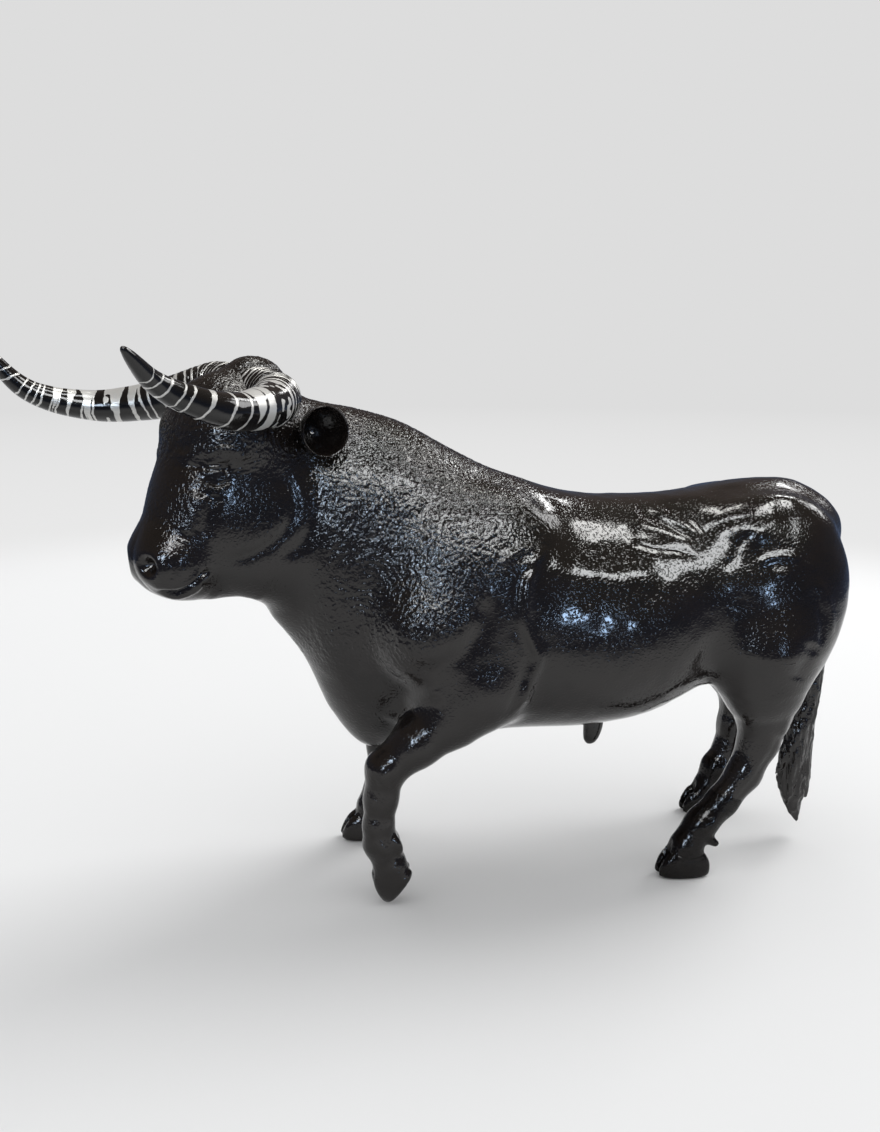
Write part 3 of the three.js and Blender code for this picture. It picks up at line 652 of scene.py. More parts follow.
# A stroke is its height (less than 0 for a groove), its width and the line that it follows
BODY_BROAD = [
    (1.2, 20.0, [(-104, 216), (-98, 213), (-92, 210)]),                # point of the shoulder
    (1.6, 9.0, [(102.8, 294.6), (122, 297.8), (145.4, 298.1), (159.5, 293.2), (175.9, 284.4),
                (194.8, 272.7), (214.1, 257.9)]),                      # hip bone to pin bone
    (1.4, 9.0, [(-24, 255.7), (-13.3, 246.7), (4.6, 242.5), (28, 239.8), (64.5, 239.3)]),
    (-1.5, 12.0, [(129.6, 227.3), (115.9, 198.6), (109, 184.1), (96.3, 169.9), (90.9, 162.8)]),
    (-1.6, 9.0, [(179.8, 187.5), (172.9, 172.7), (168, 157.8)]),
    (-1.9, 7.0, [(-133.7, 222.4), (-127.2, 191), (-103.4, 180.9), (-80.9, 192), (-65.4, 215.8),
                 (-79.3, 233.7)]),                                     # round the shoulder's point
    (1.5, 3.2, [(-27.8, 263.4), (-40, 262.1), (-55.6, 252.3)]),
    (2.0, 6.0, [(-89.5, 165.8), (-103.7, 159.3), (-116.1, 145.5), (-128.6, 131.7)]),
    (3.2, 5.0, [(-14.4, 257), (-23, 257.4), (-31.9, 248.8), (-36, 238.5), (-36.8, 224.6),
                (-36.6, 210.5), (-32.9, 199.7), (-27.3, 187), (-30.7, 172.8), (-35.8, 158.6),
                (-44.5, 142.8)]),                                      # fold behind the shoulder
]
BODY_FINE = [
    (-1.5, 3.2, [(-18.4, 253), (-26.5, 252), (-36.5, 247), (-41.3, 238.5), (-42, 224.6),
                 (-41.8, 210.5), (-38.5, 199.7), (-33.3, 187), (-36.4, 172.8), (-41, 158.6),
                 (-49.5, 142.8)]),
    (1.1, 4.0, [(49.8, 273.8), (72.4, 266.9), (93.5, 258.1)]),
    (1.1, 4.0, [(68.6, 282.2), (84, 274.5), (99.8, 261.4)]),
    (-0.8, 3.4, [(57.7, 281.3), (76.8, 271.8), (97.1, 260.3)]),
    (-1.1, 3.2, [(137.7, 266.8), (128.5, 262.6), (124.1, 256.5), (120.7, 248.5), (112.7, 240.7)]),
    (1.3, 2.8, [(137.8, 243), (141.8, 247.2), (149.3, 249.5), (158.9, 249.9), (169.6, 248)]),
    (1.2, 4.6, [(147, 236), (154, 237), (161, 236)]),
    (1.3, 5.0, [(136.2, 266.5), (139.4, 266.5)]),
    (-0.9, 2.2, [(45, 262), (62, 257), (80, 255), (93, 250)]),
    (0.8, 3.0, [(182, 232), (190, 222), (197, 205), (199, 188)]),
    (-1.0, 2.6, [(176, 226), (183, 214), (188, 198), (188, 182)]),
]
# Strokes on one leg alone
LEG_FINE = {
    -1: [
        (0.8, 3.0, [(101.9, 157.3), (113.2, 148.6), (126.6, 138), (136.5, 124.8), (138.3, 115.6),
                    (135.9, 103), (127.7, 81.5), (115.7, 62.1), (107.1, 47.9)]),
        (-0.7, 3.0, [(165, 118), (160, 100), (147, 77), (131, 58)]),
        (-0.6, 2.8, [(-127, 104), (-129, 82), (-131, 62)]),
        (-0.6, 2.8, [(-139, 104), (-139, 84), (-140, 64)]),
        (0.9, 5.1, [(-134, 106), (-135, 99)]),
        (0.8, 4.2, [(-137, 50), (-133, 41)]),
        (0.8, 4.2, [(124, 51), (117, 43)]),
        (1.2, 4.6, [(168, 124), (167, 115)]),
    ],
    1: [
        (0.8, 3.2, [(140, 150), (158, 135), (172, 118), (176, 100), (174, 80), (170, 58)]),
        (-0.7, 3.0, [(194, 110), (192, 90), (187, 66)]),
        (-0.6, 2.8, [(-112, 100), (-113, 80), (-114, 62)]),
        (-0.6, 2.8, [(-123, 100), (-124, 80), (-125, 62)]),
        (0.9, 5.1, [(-118, 106), (-118, 99)]),
        (0.8, 4.2, [(-121, 47), (-122, 39)]),
        (0.8, 4.2, [(181, 50), (177, 41)]),
        (1.2, 4.6, [(200, 122), (201, 112)]),
    ],
}
HEAD_BROAD = [
    (1.7, 4.6, [(60.6, -66.6), (54.8, -60.6), (43.3, -56.9), (31.9, -58.8), (26.4, -66.3)]),
    (-2.8, 5.0, [(50, -68), (42.7, -67.5), (34, -68.5)]),              # the eye's socket
    (-1.8, 6.0, [(-17.8, -58.9), (-19.7, -75.3), (-20.7, -94.7), (-18.7, -108.4), (-12, -121.6),
                 (4.2, -133.6)]),
    (1.5, 6.0, [(44.8, -154.4), (30.1, -160.7), (5.5, -166.3)]),
    (-1.3, 5.0, [(5.6, -70.4), (-4.7, -85.9), (-5.7, -103.6), (4.1, -117.7), (22.7, -127.8),
                 (40.6, -131)]),
    (1.6, 6.0, [(52, -84), (58, -98), (64, -112)]),                    # side of the nose
    (-1.4, 5.0, [(44, -84), (50, -100), (52, -114)]),
]
HEAD_FINE = [
    (3.4, 3.7, [(44.6, -67), (41, -67.2)]),                            # eyeball
    (1.3, 1.6, [(48.5, -65.2), (46.1, -63.3), (41.5, -62.4), (36.8, -63.2), (34.1, -68.6)]),
    (1.1, 1.6, [(50.5, -70), (48.6, -71.5), (43, -72.4), (37.1, -70.9)]),
    (-1.2, 1.4, [(52.5, -68), (55.5, -67)]),
    (-0.9, 1.5, [(50, -59), (43, -52.8), (33, -53.5)]),
    (-0.8, 1.5, [(50, -77), (42, -79), (34, -76.5)]),
    (-3.4, 1.9, [(78.6, -148.6), (67.4, -150.9), (61.5, -147), (54, -140.5), (46.5, -135.4)]),
    (1.3, 1.7, [(75, -153.2), (65.1, -154.4), (56.3, -150), (51.7, -145)]),
    (1.0, 2.4, [(92.4, -141.1), (79, -145.9), (65.7, -144), (53.8, -136)]),
    (-0.6, 2.2, [(75, -126), (72.6, -133), (74, -141)]),
]
NOSTRIL = ((87, 16, -132), 6.2, 8.5)   # its place on the right side, its radius and its depth
TAPER = 0.16                     # share of a stroke over which each end dies away
STROKE_POINTS = 70               # points that each stroke is drawn through
STROKE_REACH = 2.6               # widths of a stroke beyond which it can't be felt


def stroke_height(flat, strokes):
    """How far the strokes raise or sink points that are given by their place in the side view."""
    height = np.zeros(len(flat))
    for rise, width, line in strokes:
        line = np.array(line, float)
        path, _, length = curve_points(np.column_stack([line, np.zeros(len(line))]),
                                       np.linspace(0, 1, STROKE_POINTS))
        path = path[:, :2]
        reach = STROKE_REACH * width
        low, high = path.min(axis=0) - reach, path.max(axis=0) + reach
        near = np.flatnonzero(((flat > low) & (flat < high)).all(axis=1))
        if len(near) == 0:
            continue
        gaps = np.linalg.norm(flat[near, None] - path, axis=2)
        at = gaps.argmin(axis=1)
        ends = np.minimum(at, STROKE_POINTS - 1 - at) / (STROKE_POINTS - 1)
        fade = 1 if length < 3 * width else soft_step(ends, -0.02, TAPER)
        height[near] += rise * np.exp(-(gaps.min(axis=1) / width) ** 2) * fade
    return height


def facing(n, way):
    """1 where the skin faces the side that a stroke is drawn from, and 0 where it turns away."""
    return soft_step(np.abs(n @ np.array(way, float)), 0.12, 0.45)


def noise(q, seed):
    """Smooth noise from 0 to 1 on points that are measured in grains. Each seed has a pattern of
    its own, and the large numbers only scatter the grains' values."""
    cell = np.floor(q).astype(np.int64)
    t = q - cell
    t = t * t * (3 - 2 * t)
    total = np.zeros(len(q))
    for corner in np.ndindex(2, 2, 2):
        at = (cell + corner) @ np.array([73856093, 19349663, 83492791]) + seed * 2654435761
        at = (at ^ (at >> 13)) * 1274126177 & 0x7FFFFFFF
        at = (at ^ (at >> 15)) * 2246822519 & 0x7FFFFFFF
        share = np.where(corner, t, 1 - t).prod(axis=1)
        total += share * (at / 0x7FFFFFFF)
    return total


def ridged(q, seed):
    """Noise with sharp crests, like strands lying side by side."""
    return (1 - np.abs(2 * noise(q, seed) - 1)) ** 1.5


# The head lies in front of this place along X, and forward of this place in its own layout
HEAD_START_X, HEAD_BACK = -135, -34

# The curly coat covers the forehead, neck and shoulders. How far back it reaches at each height,
# how far that edge wanders, and over which heights it thins out downwards
COAT_EDGE = [(150, -158), (175, -116), (200, -84), (220, -68), (240, -52), (260, -22),
             (300, -14), (330, -10)]
COAT_WANDER = 14
COAT_BOTTOM = (160, 196)
COAT_FADE = (-6, 12)             # where the coat thins out, in mm in front of its edge
# On the head: the heights at which the coat begins, and how far forward it ends
FOREHEAD_COAT = ((-84, -56), (88, 68))
FACE_COAT = ((-150, -112), (78, 62))
FACE_COAT_SHARE = 0.25           # share of the coat's thickness that is left on the face
# Strands and curls, in mm: their length, their width and their depth into the side
STRAND_SIZE = (9, 2.7, 3.0)
CURL_SIZE = (3.6, 2.2, 2.4)
PEBBLE_SIZE = 1.5
# How far the strands lean back from hanging straight, in degrees, at places along X
LEAN_AT, LEAN = (-200, -110, -70, -20), (4, 14, 38, 58)
# The pebbled patch on each side of the face: its place and reach, and its grains' width and height
FACE_PATCH = ((70, -94), 27.0)
FACE_GRAIN, FACE_GRAIN_HEIGHT = 1.7, 0.3
# The lacquer's pebbles end in a ring round the point of the shoulder: rise, width and line
SHOULDER_RING = (1.0, 5.0, [(-133.7, 222.4), (-131, 205), (-122, 188), (-103.4, 181), (-84, 190),
                            (-70, 207)])
# The legs keep a little of the lacquer's pebbles, which comes in between these heights
LEG_PEBBLES, LEG_PEBBLES_Z = 0.05, (165, 120)


def on_head(p, h, back):
    """Which points are on the head, forward of this place in its layout."""
    return (p[:, 0] < HEAD_START_X) & (h[:, 0] > back)


def coat_patch(h, heights, ends):
    """1 where the coat lies on a part of the head, and 0 below it and in front of it."""
    return soft_step(h[:, 2], *heights) * soft_step(h[:, 0], *ends)


def coat_mask(p, h):
    """How thick the curly coat is, from 0 to 1, given also each point's place in the head."""
    edge = np.interp(p[:, 2], *np.array(COAT_EDGE, float).T)
    wander = COAT_WANDER * (noise(p / 16, 5) - 0.5)
    neck = (soft_step(edge + wander - p[:, 0], *COAT_FADE)
            * soft_step(p[:, 2] + wander, *COAT_BOTTOM))
    past_neck = soft_step(h[:, 0], HEAD_BACK, -14)
    face = FACE_COAT_SHARE * coat_patch(h, *FACE_COAT)
    head = np.maximum(coat_patch(h, *FOREHEAD_COAT), face) * past_neck * (p[:, 0] < -140)
    return neck * (1 - past_neck) + head * (1 - bare_eye(h))


def bare_eye(h):
    """1 on the eyeballs, which stay smooth, and 0 beside them."""
    return soft_step(np.hypot((h[:, 0] - 43) / 6.5, (h[:, 2] + 67) / 4.6), 1.25, 0.9)


def face_patch(h):
    """1 in the middle of the pebbled patch on each side of the face, and 0 beyond it."""
    (forward, up), reach = FACE_PATCH
    return soft_step(np.hypot(h[:, 0] - forward, h[:, 2] - up), reach, reach * 0.4)


def coat_height(p, mask):
    """The coat's curls: strands that hang on the neck and run back over the withers."""
    near = np.flatnonzero(mask > 0.01)
    q = p[near]
    height = np.zeros(len(p))
    lean = np.radians(np.interp(q[:, 0], LEAN_AT, LEAN))
    lean = lean + 0.5 * (noise(q / 24, 8) - 0.5)
    weave = 5.0 * (noise(q / 11, 3) - 0.5)
    along = q[:, 0] * np.sin(lean) - q[:, 2] * np.cos(lean)
    across = q[:, 0] * np.cos(lean) + q[:, 2] * np.sin(lean) + weave
    hanging = np.stack([along, across, q[:, 1]], axis=1)
    strands, curls = ridged(hanging / STRAND_SIZE, 1), ridged(hanging / CURL_SIZE, 2)
    pebbles = noise(q / PEBBLE_SIZE, 4)
    height[near] = mask[near] * (0.55 * strands + 0.25 * curls + 0.4 * pebbles - 0.8)
    return height


def skin_unevenness(p):
    """The slight waves, 26 and 9 mm long, of a hand-smoothed casting under its lacquer."""
    return 0.9 * (noise(p / 26, 11) - 0.9) + 0.55 * (noise(p / 9, 12) - 0.6)


def sculpt(figure):
    """Presses the strokes, the coat and the hand's unevenness into the clay figure."""
    for body, legs, head in ((BODY_BROAD, {}, HEAD_BROAD), (BODY_FINE, LEG_FINE, HEAD_FINE)):
        p, n = read_points(figure), read_vertices(figure, "normal")
        h = to_head(p)
        in_head = on_head(p, h, HEAD_BACK)
        height = stroke_height(p[:, [0, 2]], body) * facing(n, (0, 1, 0)) * ~in_head
        for side, strokes in legs.items():
            own = side * p[:, 1] > 10
            height[own] += stroke_height(p[own][:, [0, 2]], strokes) * facing(n[own], (0, 1, 0))
        face = np.flatnonzero(in_head)
        height[face] += stroke_height(h[face][:, [0, 2]], head) * facing(n[face], SIDE_WAY)
        if head is HEAD_FINE:
            centre, radius, depth = NOSTRIL
            far = np.linalg.norm(folded(h[face]) - np.array(centre, float), axis=1)
            height[face] -= depth * np.exp(-(far / radius) ** 3)
        write_points(figure, p + n * height[:, None])
    p, n = read_points(figure), read_vertices(figure, "normal")
    h = to_head(p)
    mask = coat_mask(p, h)
    # the waves are slighter on the legs and on the head
    thick = 0.3 + 0.7 * soft_step(p[:, 2], 110, 165) * soft_step(h[:, 0], 0, HEAD_BACK)
    height = coat_height(p, mask) + skin_unevenness(p) * (1 - mask) * thick
    face = np.flatnonzero(on_head(p, h, 30))
    grains = face_patch(h[face]) * (noise(h[face] / FACE_GRAIN, 21) - 0.5) * FACE_GRAIN_HEIGHT
    height[face] += grains * facing(n[face], SIDE_WAY)
    p = p + n * height[:, None]
    p[:, 2] = np.maximum(p[:, 2], 0)
    write_points(figure, p)


def refine(figure):
    """Halves the faces where the coat, the head and the lower legs need finer skin."""
    p = read_points(figure)
    h = to_head(p)
    wanted = (coat_mask(p, h) > 0.02) | on_head(p, h, -30) | (p[:, 2] < FINE_LEG_TOP)
    activate(figure)
    mesh = figure.data
    mesh.vertices.foreach_set("select", wanted)
    mesh.polygons.foreach_set("select", wanted[corners_of(mesh.polygons, 4)].all(axis=1))
    mesh.edges.foreach_set("select", wanted[corners_of(mesh.edges, 2)].all(axis=1))
    bpy.ops.object.mode_set(mode="EDIT")
    bpy.ops.mesh.select_mode(type="FACE")
    bpy.ops.mesh.subdivide(number_cuts=1, ngon=False)
    bpy.ops.object.mode_set(mode="OBJECT")


# Where the castings part: a leg fills the space on the far side of all its root's planes
NECK_PLANE = (from_head((-45, 0, -30)), from_head((153, 0, 24)) - POLL)
ROOT_PLANES = {
    "fore": [((-64, 57, 134), (-0.34, 0.1, -0.94)), ((-100, 37, 120), (0.12, 1, -0.4))],
    "hind": [((158, 57, 151), (0.15, 0, -1)), ((109, 57, 150), (1, 0, -0.3)),
             ((0, 14, 0), (0, 1, 0))],
}
BLOCK = 900.0


def block_beyond(at, way):
    """A block that fills the space beyond a plane."""
    deselect()
    bpy.ops.mesh.primitive_cube_add(size=BLOCK * MM)
    block = bpy.context.object
    way = np.array(way, float) / np.linalg.norm(way)
    turn = np.array(Vector((0, 0, 1)).rotation_difference(Vector(way)).to_matrix())
    middle = np.array(at, float) + way * BLOCK / 2
    write_points(block, read_vertices(block) / MM @ turn.T + middle)
    return block


def block_beyond_all(planes):
    """The space that lies beyond every plane."""
    first, *others = [block_beyond(at, way) for at, way in planes]
    for other in others:
        parted(first, "INTERSECT", other)
        thrown_away(other)
    return first


# The castings whose pieces aren't named as their nodes are
CASTING_NODES = {"body_left": "body_shell_left", "body_right": "body_shell_right",
                 "head": "head_casting"}


def joint_planes(name):
    """The planes beyond which a casting lies."""
    if name == "head":
        return [NECK_PLANE]
    side = LEGS[name][0]
    return [(on_side(at, side), on_side(way, side)) for at, way in ROOT_PLANES[name[:4]]]


def cast_and_parted(figure, core):
    """The sculpted figure cut into its castings, with the trunk hollowed."""
    pieces = {}
    for name in ("head", *LEGS):
        block = block_beyond_all(joint_planes(name))
        pieces[name] = parted(copied(figure, name), "INTERSECT", block)
        parted(core, "UNION", block)
        thrown_away(block)
    parted(figure, "DIFFERENCE", core)
    middle = block_beyond((0, 0, 0), (0, -1, 0))
    pieces["body_left"] = parted(copied(figure, "body_left"), "INTERSECT", middle)
    pieces["body_right"] = parted(copied(figure, "body_right"), "DIFFERENCE", middle)
    thrown_away(figure, core, middle)
    return pieces


# Horns: centrelines from the poll in the head's layout, forward, out and up
HORN_ROOT_RADIUS = 15.5
HORN_SIDES, HORN_RINGS = 84, 430
GROWTH_RING, GROWTH_HEIGHT = 3.6, 0.3   # the growth rings near the root: pitch and height, in mm
HORN_LINES = {
    "horn_left": (-1, [(2, 7, -20), (0, 27, -21), (2, 44, -24), (30, 76, -28), (70, 101, -27.5),
                       (115, 112, -12), (143, 129, 9)]),
    "horn_right": (1, [(2, 7, -20), (0, 27, -18), (1, 43, -18), (29, 74, -29), (69.5, 104, -33),
                       (109, 120, -21), (140, 124, 14)]),
}
# Share of a horn's length and share of its root's radius there
HORN_TAPER = ((0, 1), (0.25, 1), (0.4, 0.86), (0.58, 0.7), (0.74, 0.54), (0.88, 0.36),
              (0.96, 0.22), (1, 0.09))

# Silver bands painted round each horn: where each crosses its top and its underside, in mm from
# the root, and how wide it is there
SILVER_BANDS = {
    "horn_left": [
        (190.8, 190.8, 1.0, 0.8), (180.4, 186.2, 1.7, 1.3), (172.1, 177.8, 2.0, 1.5),
        (163.6, 167.1, 1.6, 1.2), (157, 159.9, 1.9, 1.4), (143.9, 147.7, 5.4, 1.7),
        (128.2, 132.7, 2.4, 1.6), (115, 120.2, 2.4, 1.6), (100, 101, 25, 15), (64, 69, 4, 2.6),
        (58.5, 61, 1.8, 1.5), (53, 55.5, 1.7, 1.4), (48, 50.5, 1.8, 1.5), (43.5, 46, 1.6, 1.4),
        (39.5, 41.5, 1.8, 1.4), (35.5, 37.5, 1.6, 1.4), (31.5, 33, 1.8, 1.4), (27.5, 29, 1.6, 1.2),
        (23.5, 24.5, 1.4, 1.2), (19.5, 20, 1.6, 1.2), (15.5, 15.8, 1.5, 1.2), (11, 11, 1.6, 1.2),
        (6.5, 6.5, 1.5, 1.2),
    ],
    "horn_right": [
        (203, 206, 1.4, 1.1), (194.5, 198, 1.4, 1.1), (186, 190.5, 1.6, 1.2),
        (178.4, 180, 1.5, 1.2), (172, 173.2, 1.5, 1.2), (167.4, 168.2, 1.4, 1.1),
        (164.1, 164.8, 1.3, 1.1), (154.8, 154.8, 8, 0.4), (157, 157, 1.2, 1.4),
        (152.6, 152.6, 1.2, 1.4), (144, 144.4, 7, 1.6), (131.7, 131.7, 13, 0.4),
        (135, 135, 1.6, 1.6), (129.5, 129.5, 3, 3), (126, 126, 1.6, 1.6), (109, 110.9, 12, 4),
        (96.5, 96.6, 8, 2.2), (92.2, 87.3, 1.8, 1.5), (85.9, 81.7, 1.8, 1.5), (77, 71, 4, 2),
        (69, 63.5, 1.8, 1.5), (62, 57, 3, 1.8), (54, 49.5, 1.7, 1.4), (48, 44, 2, 1.5),
        (42, 39, 1.6, 1.4), (37, 34, 1.8, 1.4), (32, 30, 1.6, 1.3), (27, 25.5, 1.6, 1.3),
        (22, 21.5, 1.6, 1.2), (17.5, 17, 1.5, 1.2), (12.5, 12, 1.7, 1.2), (7.5, 7, 1.5, 1.2),
    ],
}
# Where silver and black are mottled, in mm from the root, and a black wedge laid like a band
MOTTLED = {"horn_left": (66, 87), "horn_right": (112, 119)}
MOTTLE_SIZE = (3.4, 3.4, 5)
BLACK_WEDGE = {"horn_left": (96, 108, 1.2, 5.5), "horn_right": (101, 104, 0.6, 2.2)}
PAINT_REACH = 3.0                # how deep in paint, or how far outside it, is noted, in mm


def band_depth(s, topness, band):
    """How deep inside a band a point lies, in mm, where topness is 1 on top and 0 underneath."""
    top, under, wide, narrow = band
    middle = under + (top - under) * topness
    return (narrow + (wide - narrow) * topness**1.6) / 2 - np.abs(s - middle)


def horn(name):
    """A horn with its growth rings, closed at both ends."""
    side, line = HORN_LINES[name]
    points = from_head([on_side(point, side) for point in line])
    length = curve_points(points, np.array([0.5]))[2]
    seed = 40 if side < 0 else 60

    def place(u, v):
        s = u * length
        share = smooth_table(u, HORN_TAPER)[:, 0]
        growth = np.cos(2 * np.pi * s / GROWTH_RING) * soft_step(s, 78, 40) * GROWTH_HEIGHT
        round_trip = np.stack([np.cos(2 * np.pi * v) * 2, np.sin(2 * np.pi * v) * 2, s / 9], axis=1)
        uneven = 0.5 * (noise(round_trip, seed) - 0.5) * share
        r = (HORN_ROOT_RADIUS * share + growth + uneven) * closing(u, 0.012)
        return tube_points(points, u, v, r, r, UPRIGHT)

    piece = rolled(name, HORN_SIDES, HORN_RINGS, place)
    paint_bands(piece, name, points, length, seed)
    return piece


def paint_bands(piece, name, points, length, seed):
    """Notes on each point of a horn how deep in silver paint it lies, in mm."""
    p = read_points(piece)
    shares = np.linspace(0, 1, 900)
    centre, way, _ = curve_points(points, shares)
    # in parts, because the gaps from all the points to all the centres take much memory
    at = np.concatenate([np.linalg.norm(part[:, None] - centre, axis=2).argmin(axis=1)
                         for part in np.array_split(p, 40)])
    s = shares[at] * length
    off = p - centre[at]
    upward = square_to(way[at], UPRIGHT)
    topness = 0.5 + 0.5 * (off * upward).sum(axis=1) / np.maximum(np.linalg.norm(off, axis=1), 0.1)
    s = s + 2.2 * (noise(p / 9, seed + 1) - 0.5) + 1.0 * (noise(p / 3, seed + 2) - 0.5)
    depth = np.full(len(p), -PAINT_REACH)
    for band in SILVER_BANDS[name]:
        depth = np.maximum(depth, band_depth(s, topness, band))
    depth = np.minimum(depth, -band_depth(s, topness, BLACK_WEDGE[name]))
    low, high = MOTTLED[name]
    mottle = (noise(p / np.array(MOTTLE_SIZE), seed + 3) - 0.60) * 9
    mottle = np.minimum(mottle, np.minimum(s - low, high - s))
    note(piece, "silver_depth", np.clip(np.maximum(depth, mottle), -PAINT_REACH, PAINT_REACH))


# Ears: a cup on a stub. The profile, as radius and height, runs up its outside, over the rim and
# down its inside
EAR_PROFILE = [(0, -15), (6.8, -15), (7.6, -8), (8.2, -3), (10.2, 1.5), (12.8, 5.5), (15.2, 11),
               (16.5, 16), (17, 20.4), (16.7, 21.5), (16, 21.3), (15.2, 18.5), (13.4, 12), (10.4, 6),
               (6.2, 0), (3, -3), (0, -4)]
EAR_SEAT, EAR_WAY = (-24, 46, -47), (0.12, 1, 0.05)


def ear(name, side):
    """A cupped ear, whose profile is turned round the way that it stands out from the head."""
    seat = from_head(on_side(EAR_SEAT, side))
    out = from_head(on_side(EAR_WAY, side)) - POLL
    out /= np.linalg.norm(out)
    upward = square_to(out, UPRIGHT)
    across = np.cross(out, upward)
    profile = np.array(EAR_PROFILE, float)
    gaps = np.linalg.norm(np.diff(profile, axis=0), axis=1)
    reached = np.concatenate([[0], np.cumsum(gaps)]) / gaps.sum()
    rows = np.column_stack([reached, profile])

    def place(u, v):
        r, height = smooth_table(u, rows).T
        r = np.maximum(r, 0) * closing(u)
        angle = 2 * np.pi * v
        return (seat + out * height[:, None] + upward * (r * np.cos(angle))[:, None]
                + across * (r * np.sin(angle))[:, None])

    return rolled(name, 72, 90, place)


# The tail: its line, and at shares of it its radii, front to back and sideways
TAIL_GRAIN = 0.9
TAIL_LINE = [(206, 0, 263), (223, 0, 263), (233, 0, 244), (237, 0, 214), (234, -2, 184),
             (227, -5, 156), (220, -6, 128), (215, -6, 92), (210.5, -6, 60), (213, -6, 36),
             (217, -6, 13)]
TAIL_RADII = [(0, 9, 9), (0.1, 9.5, 9.5), (0.3, 6.3, 7), (0.42, 6.5, 6.5), (0.5, 8, 8.5),
              (0.62, 12, 10), (0.8, 16, 9), (0.88, 14.5, 8), (0.95, 8, 5), (1, 1.5, 1.5)]
SWITCH_STRAND = (2.8, 2.8, 15.0)  # width, depth and length of the switch's strands, in mm

# Locks of the switch that part from the tail and end in points of their own
TAIL_LOCKS = [
    [(226, -5, 150), (222, -9, 120), (212, -11, 92), (203, -10, 72), (194.5, -9, 56)],
    [(229, -3, 140), (226, -2, 110), (223, -4, 80), (223, -5, 56), (224, -6, 33)],
    [(224, -6, 135), (216, -10, 100), (209, -12, 65), (208, -10, 42), (206, -9, 29)],
    [(227, 0, 132), (219, 3, 96), (214, 4, 66), (218, 2, 38), (218, -4, 12)],
]
LOCK_RADII = [(0, 3.5), (0.3, 5), (0.6, 5.6), (0.85, 4), (1, 0.8)]


def tail():
    """The tail's rope and its locks run together, with the strands combed in."""
    def rope(u, v):
        slimmer = 1 - 0.22 * soft_step(u, 0.5, 0.75)    # the locks fill out the switch
        deep, wide = smooth_table(u, TAIL_RADII).T * closing(u) * slimmer
        return tube_points(TAIL_LINE, u, v, deep, wide, (1, 0, 0.3))

    def lock(line):
        def place(u, v):
            r = smooth_table(u, LOCK_RADII)[:, 0] * closing(u)
            return tube_points(line, u, v, r, r * 0.9, (1, 0, 0.3))
        return place

    pieces = [rolled("rope", 40, 260, rope)]
    pieces += [rolled("lock", 24, 80, lock(line)) for line in TAIL_LOCKS]
    whole = run_together("tail", pieces, TAIL_GRAIN)
    p, n = read_points(whole), read_vertices(whole, "normal")
    comb = soft_step(p[:, 2], 170, 120) * (ridged((p + n) / np.array(SWITCH_STRAND), 71) - 0.5)
    knobs = 1.2 * (noise(p / 12, 72) - 0.5) + 0.35 * (noise(p / 3, 73) - 0.5)
    write_points(whole, p + n * (1.5 * comb + knobs * soft_step(p[:, 2], 240, 200))[:, None])
    return whole


SHEATH_LINE = [(38, 0, 128), (42, 0, 112), (41, 0, 100), (38, 0, 90)]
SHEATH_RADII = [(0, 7, 6), (0.5, 8, 6.5), (0.8, 6.5, 5.5), (1, 3.5, 3)]


def sheath():
    """The small tab under the belly, with domed ends."""
    def place(u, v):
        deep, wide = smooth_table(u, SHEATH_RADII).T * closing(u, 0.1)
        return tube_points(SHEATH_LINE, u, v, deep, wide, (1, 0, 0))

    return rolled("sheath", 40, 60, place)


# Materials


def linear(hex_colour):
    """An sRGB hex colour as the linear numbers that the shaders take."""
    shares = [int(hex_colour[n:n + 2], 16) / 255 for n in (1, 3, 5)]
    return tuple(c / 12.92 if c <= 0.04045 else ((c + 0.055) / 1.055) ** 2.4 for c in shares)


def add_node(tree, kind, inputs=None, **settings):
    """Adds a node with its settings; an input is a number, a colour or another node's socket."""
    node = tree.nodes.new(kind)
    for key, value in settings.items():
        setattr(node, key, value)
    for key, value in (inputs or {}).items():
        socket = node.inputs[key]
        if isinstance(value, bpy.types.NodeSocket):
            tree.links.new(value, socket)
        else:
            socket.default_value = value
    return node


def new_finish(name):
    """A new material, its empty tree and the places of its points on the piece."""
    finish = bpy.data.materials.new(name)
    finish.use_nodes = True
    tree = finish.node_tree
    tree.nodes.clear()
    return finish, tree, add_node(tree, "ShaderNodeTexCoord").outputs["Object"]


LACQUER = "gloss_black_lacquer"
# Values of the noise between which bumps rise: the lower they are, the closer the bumps lie
ORANGE_PEEL, PEBBLES = (0.46, 0.76), (0.42, 0.72)


def bumps(tree, place, shares, height):
    """Rounded bumps, in mm high, on cells about 1.8 mm wide, with bare skin between them."""
    cells = add_node(tree, "ShaderNodeTexNoise", {"Vector": place, "Scale": 1 / 0.0018, "Detail": 1.0})
    return add_node(tree, "ShaderNodeMapRange", {
        "Value": cells.outputs["Fac"], "From Min": shares[0], "From Max": shares[1],
        "To Max": height,
    }, interpolation_type="SMOOTHSTEP").outputs[0]


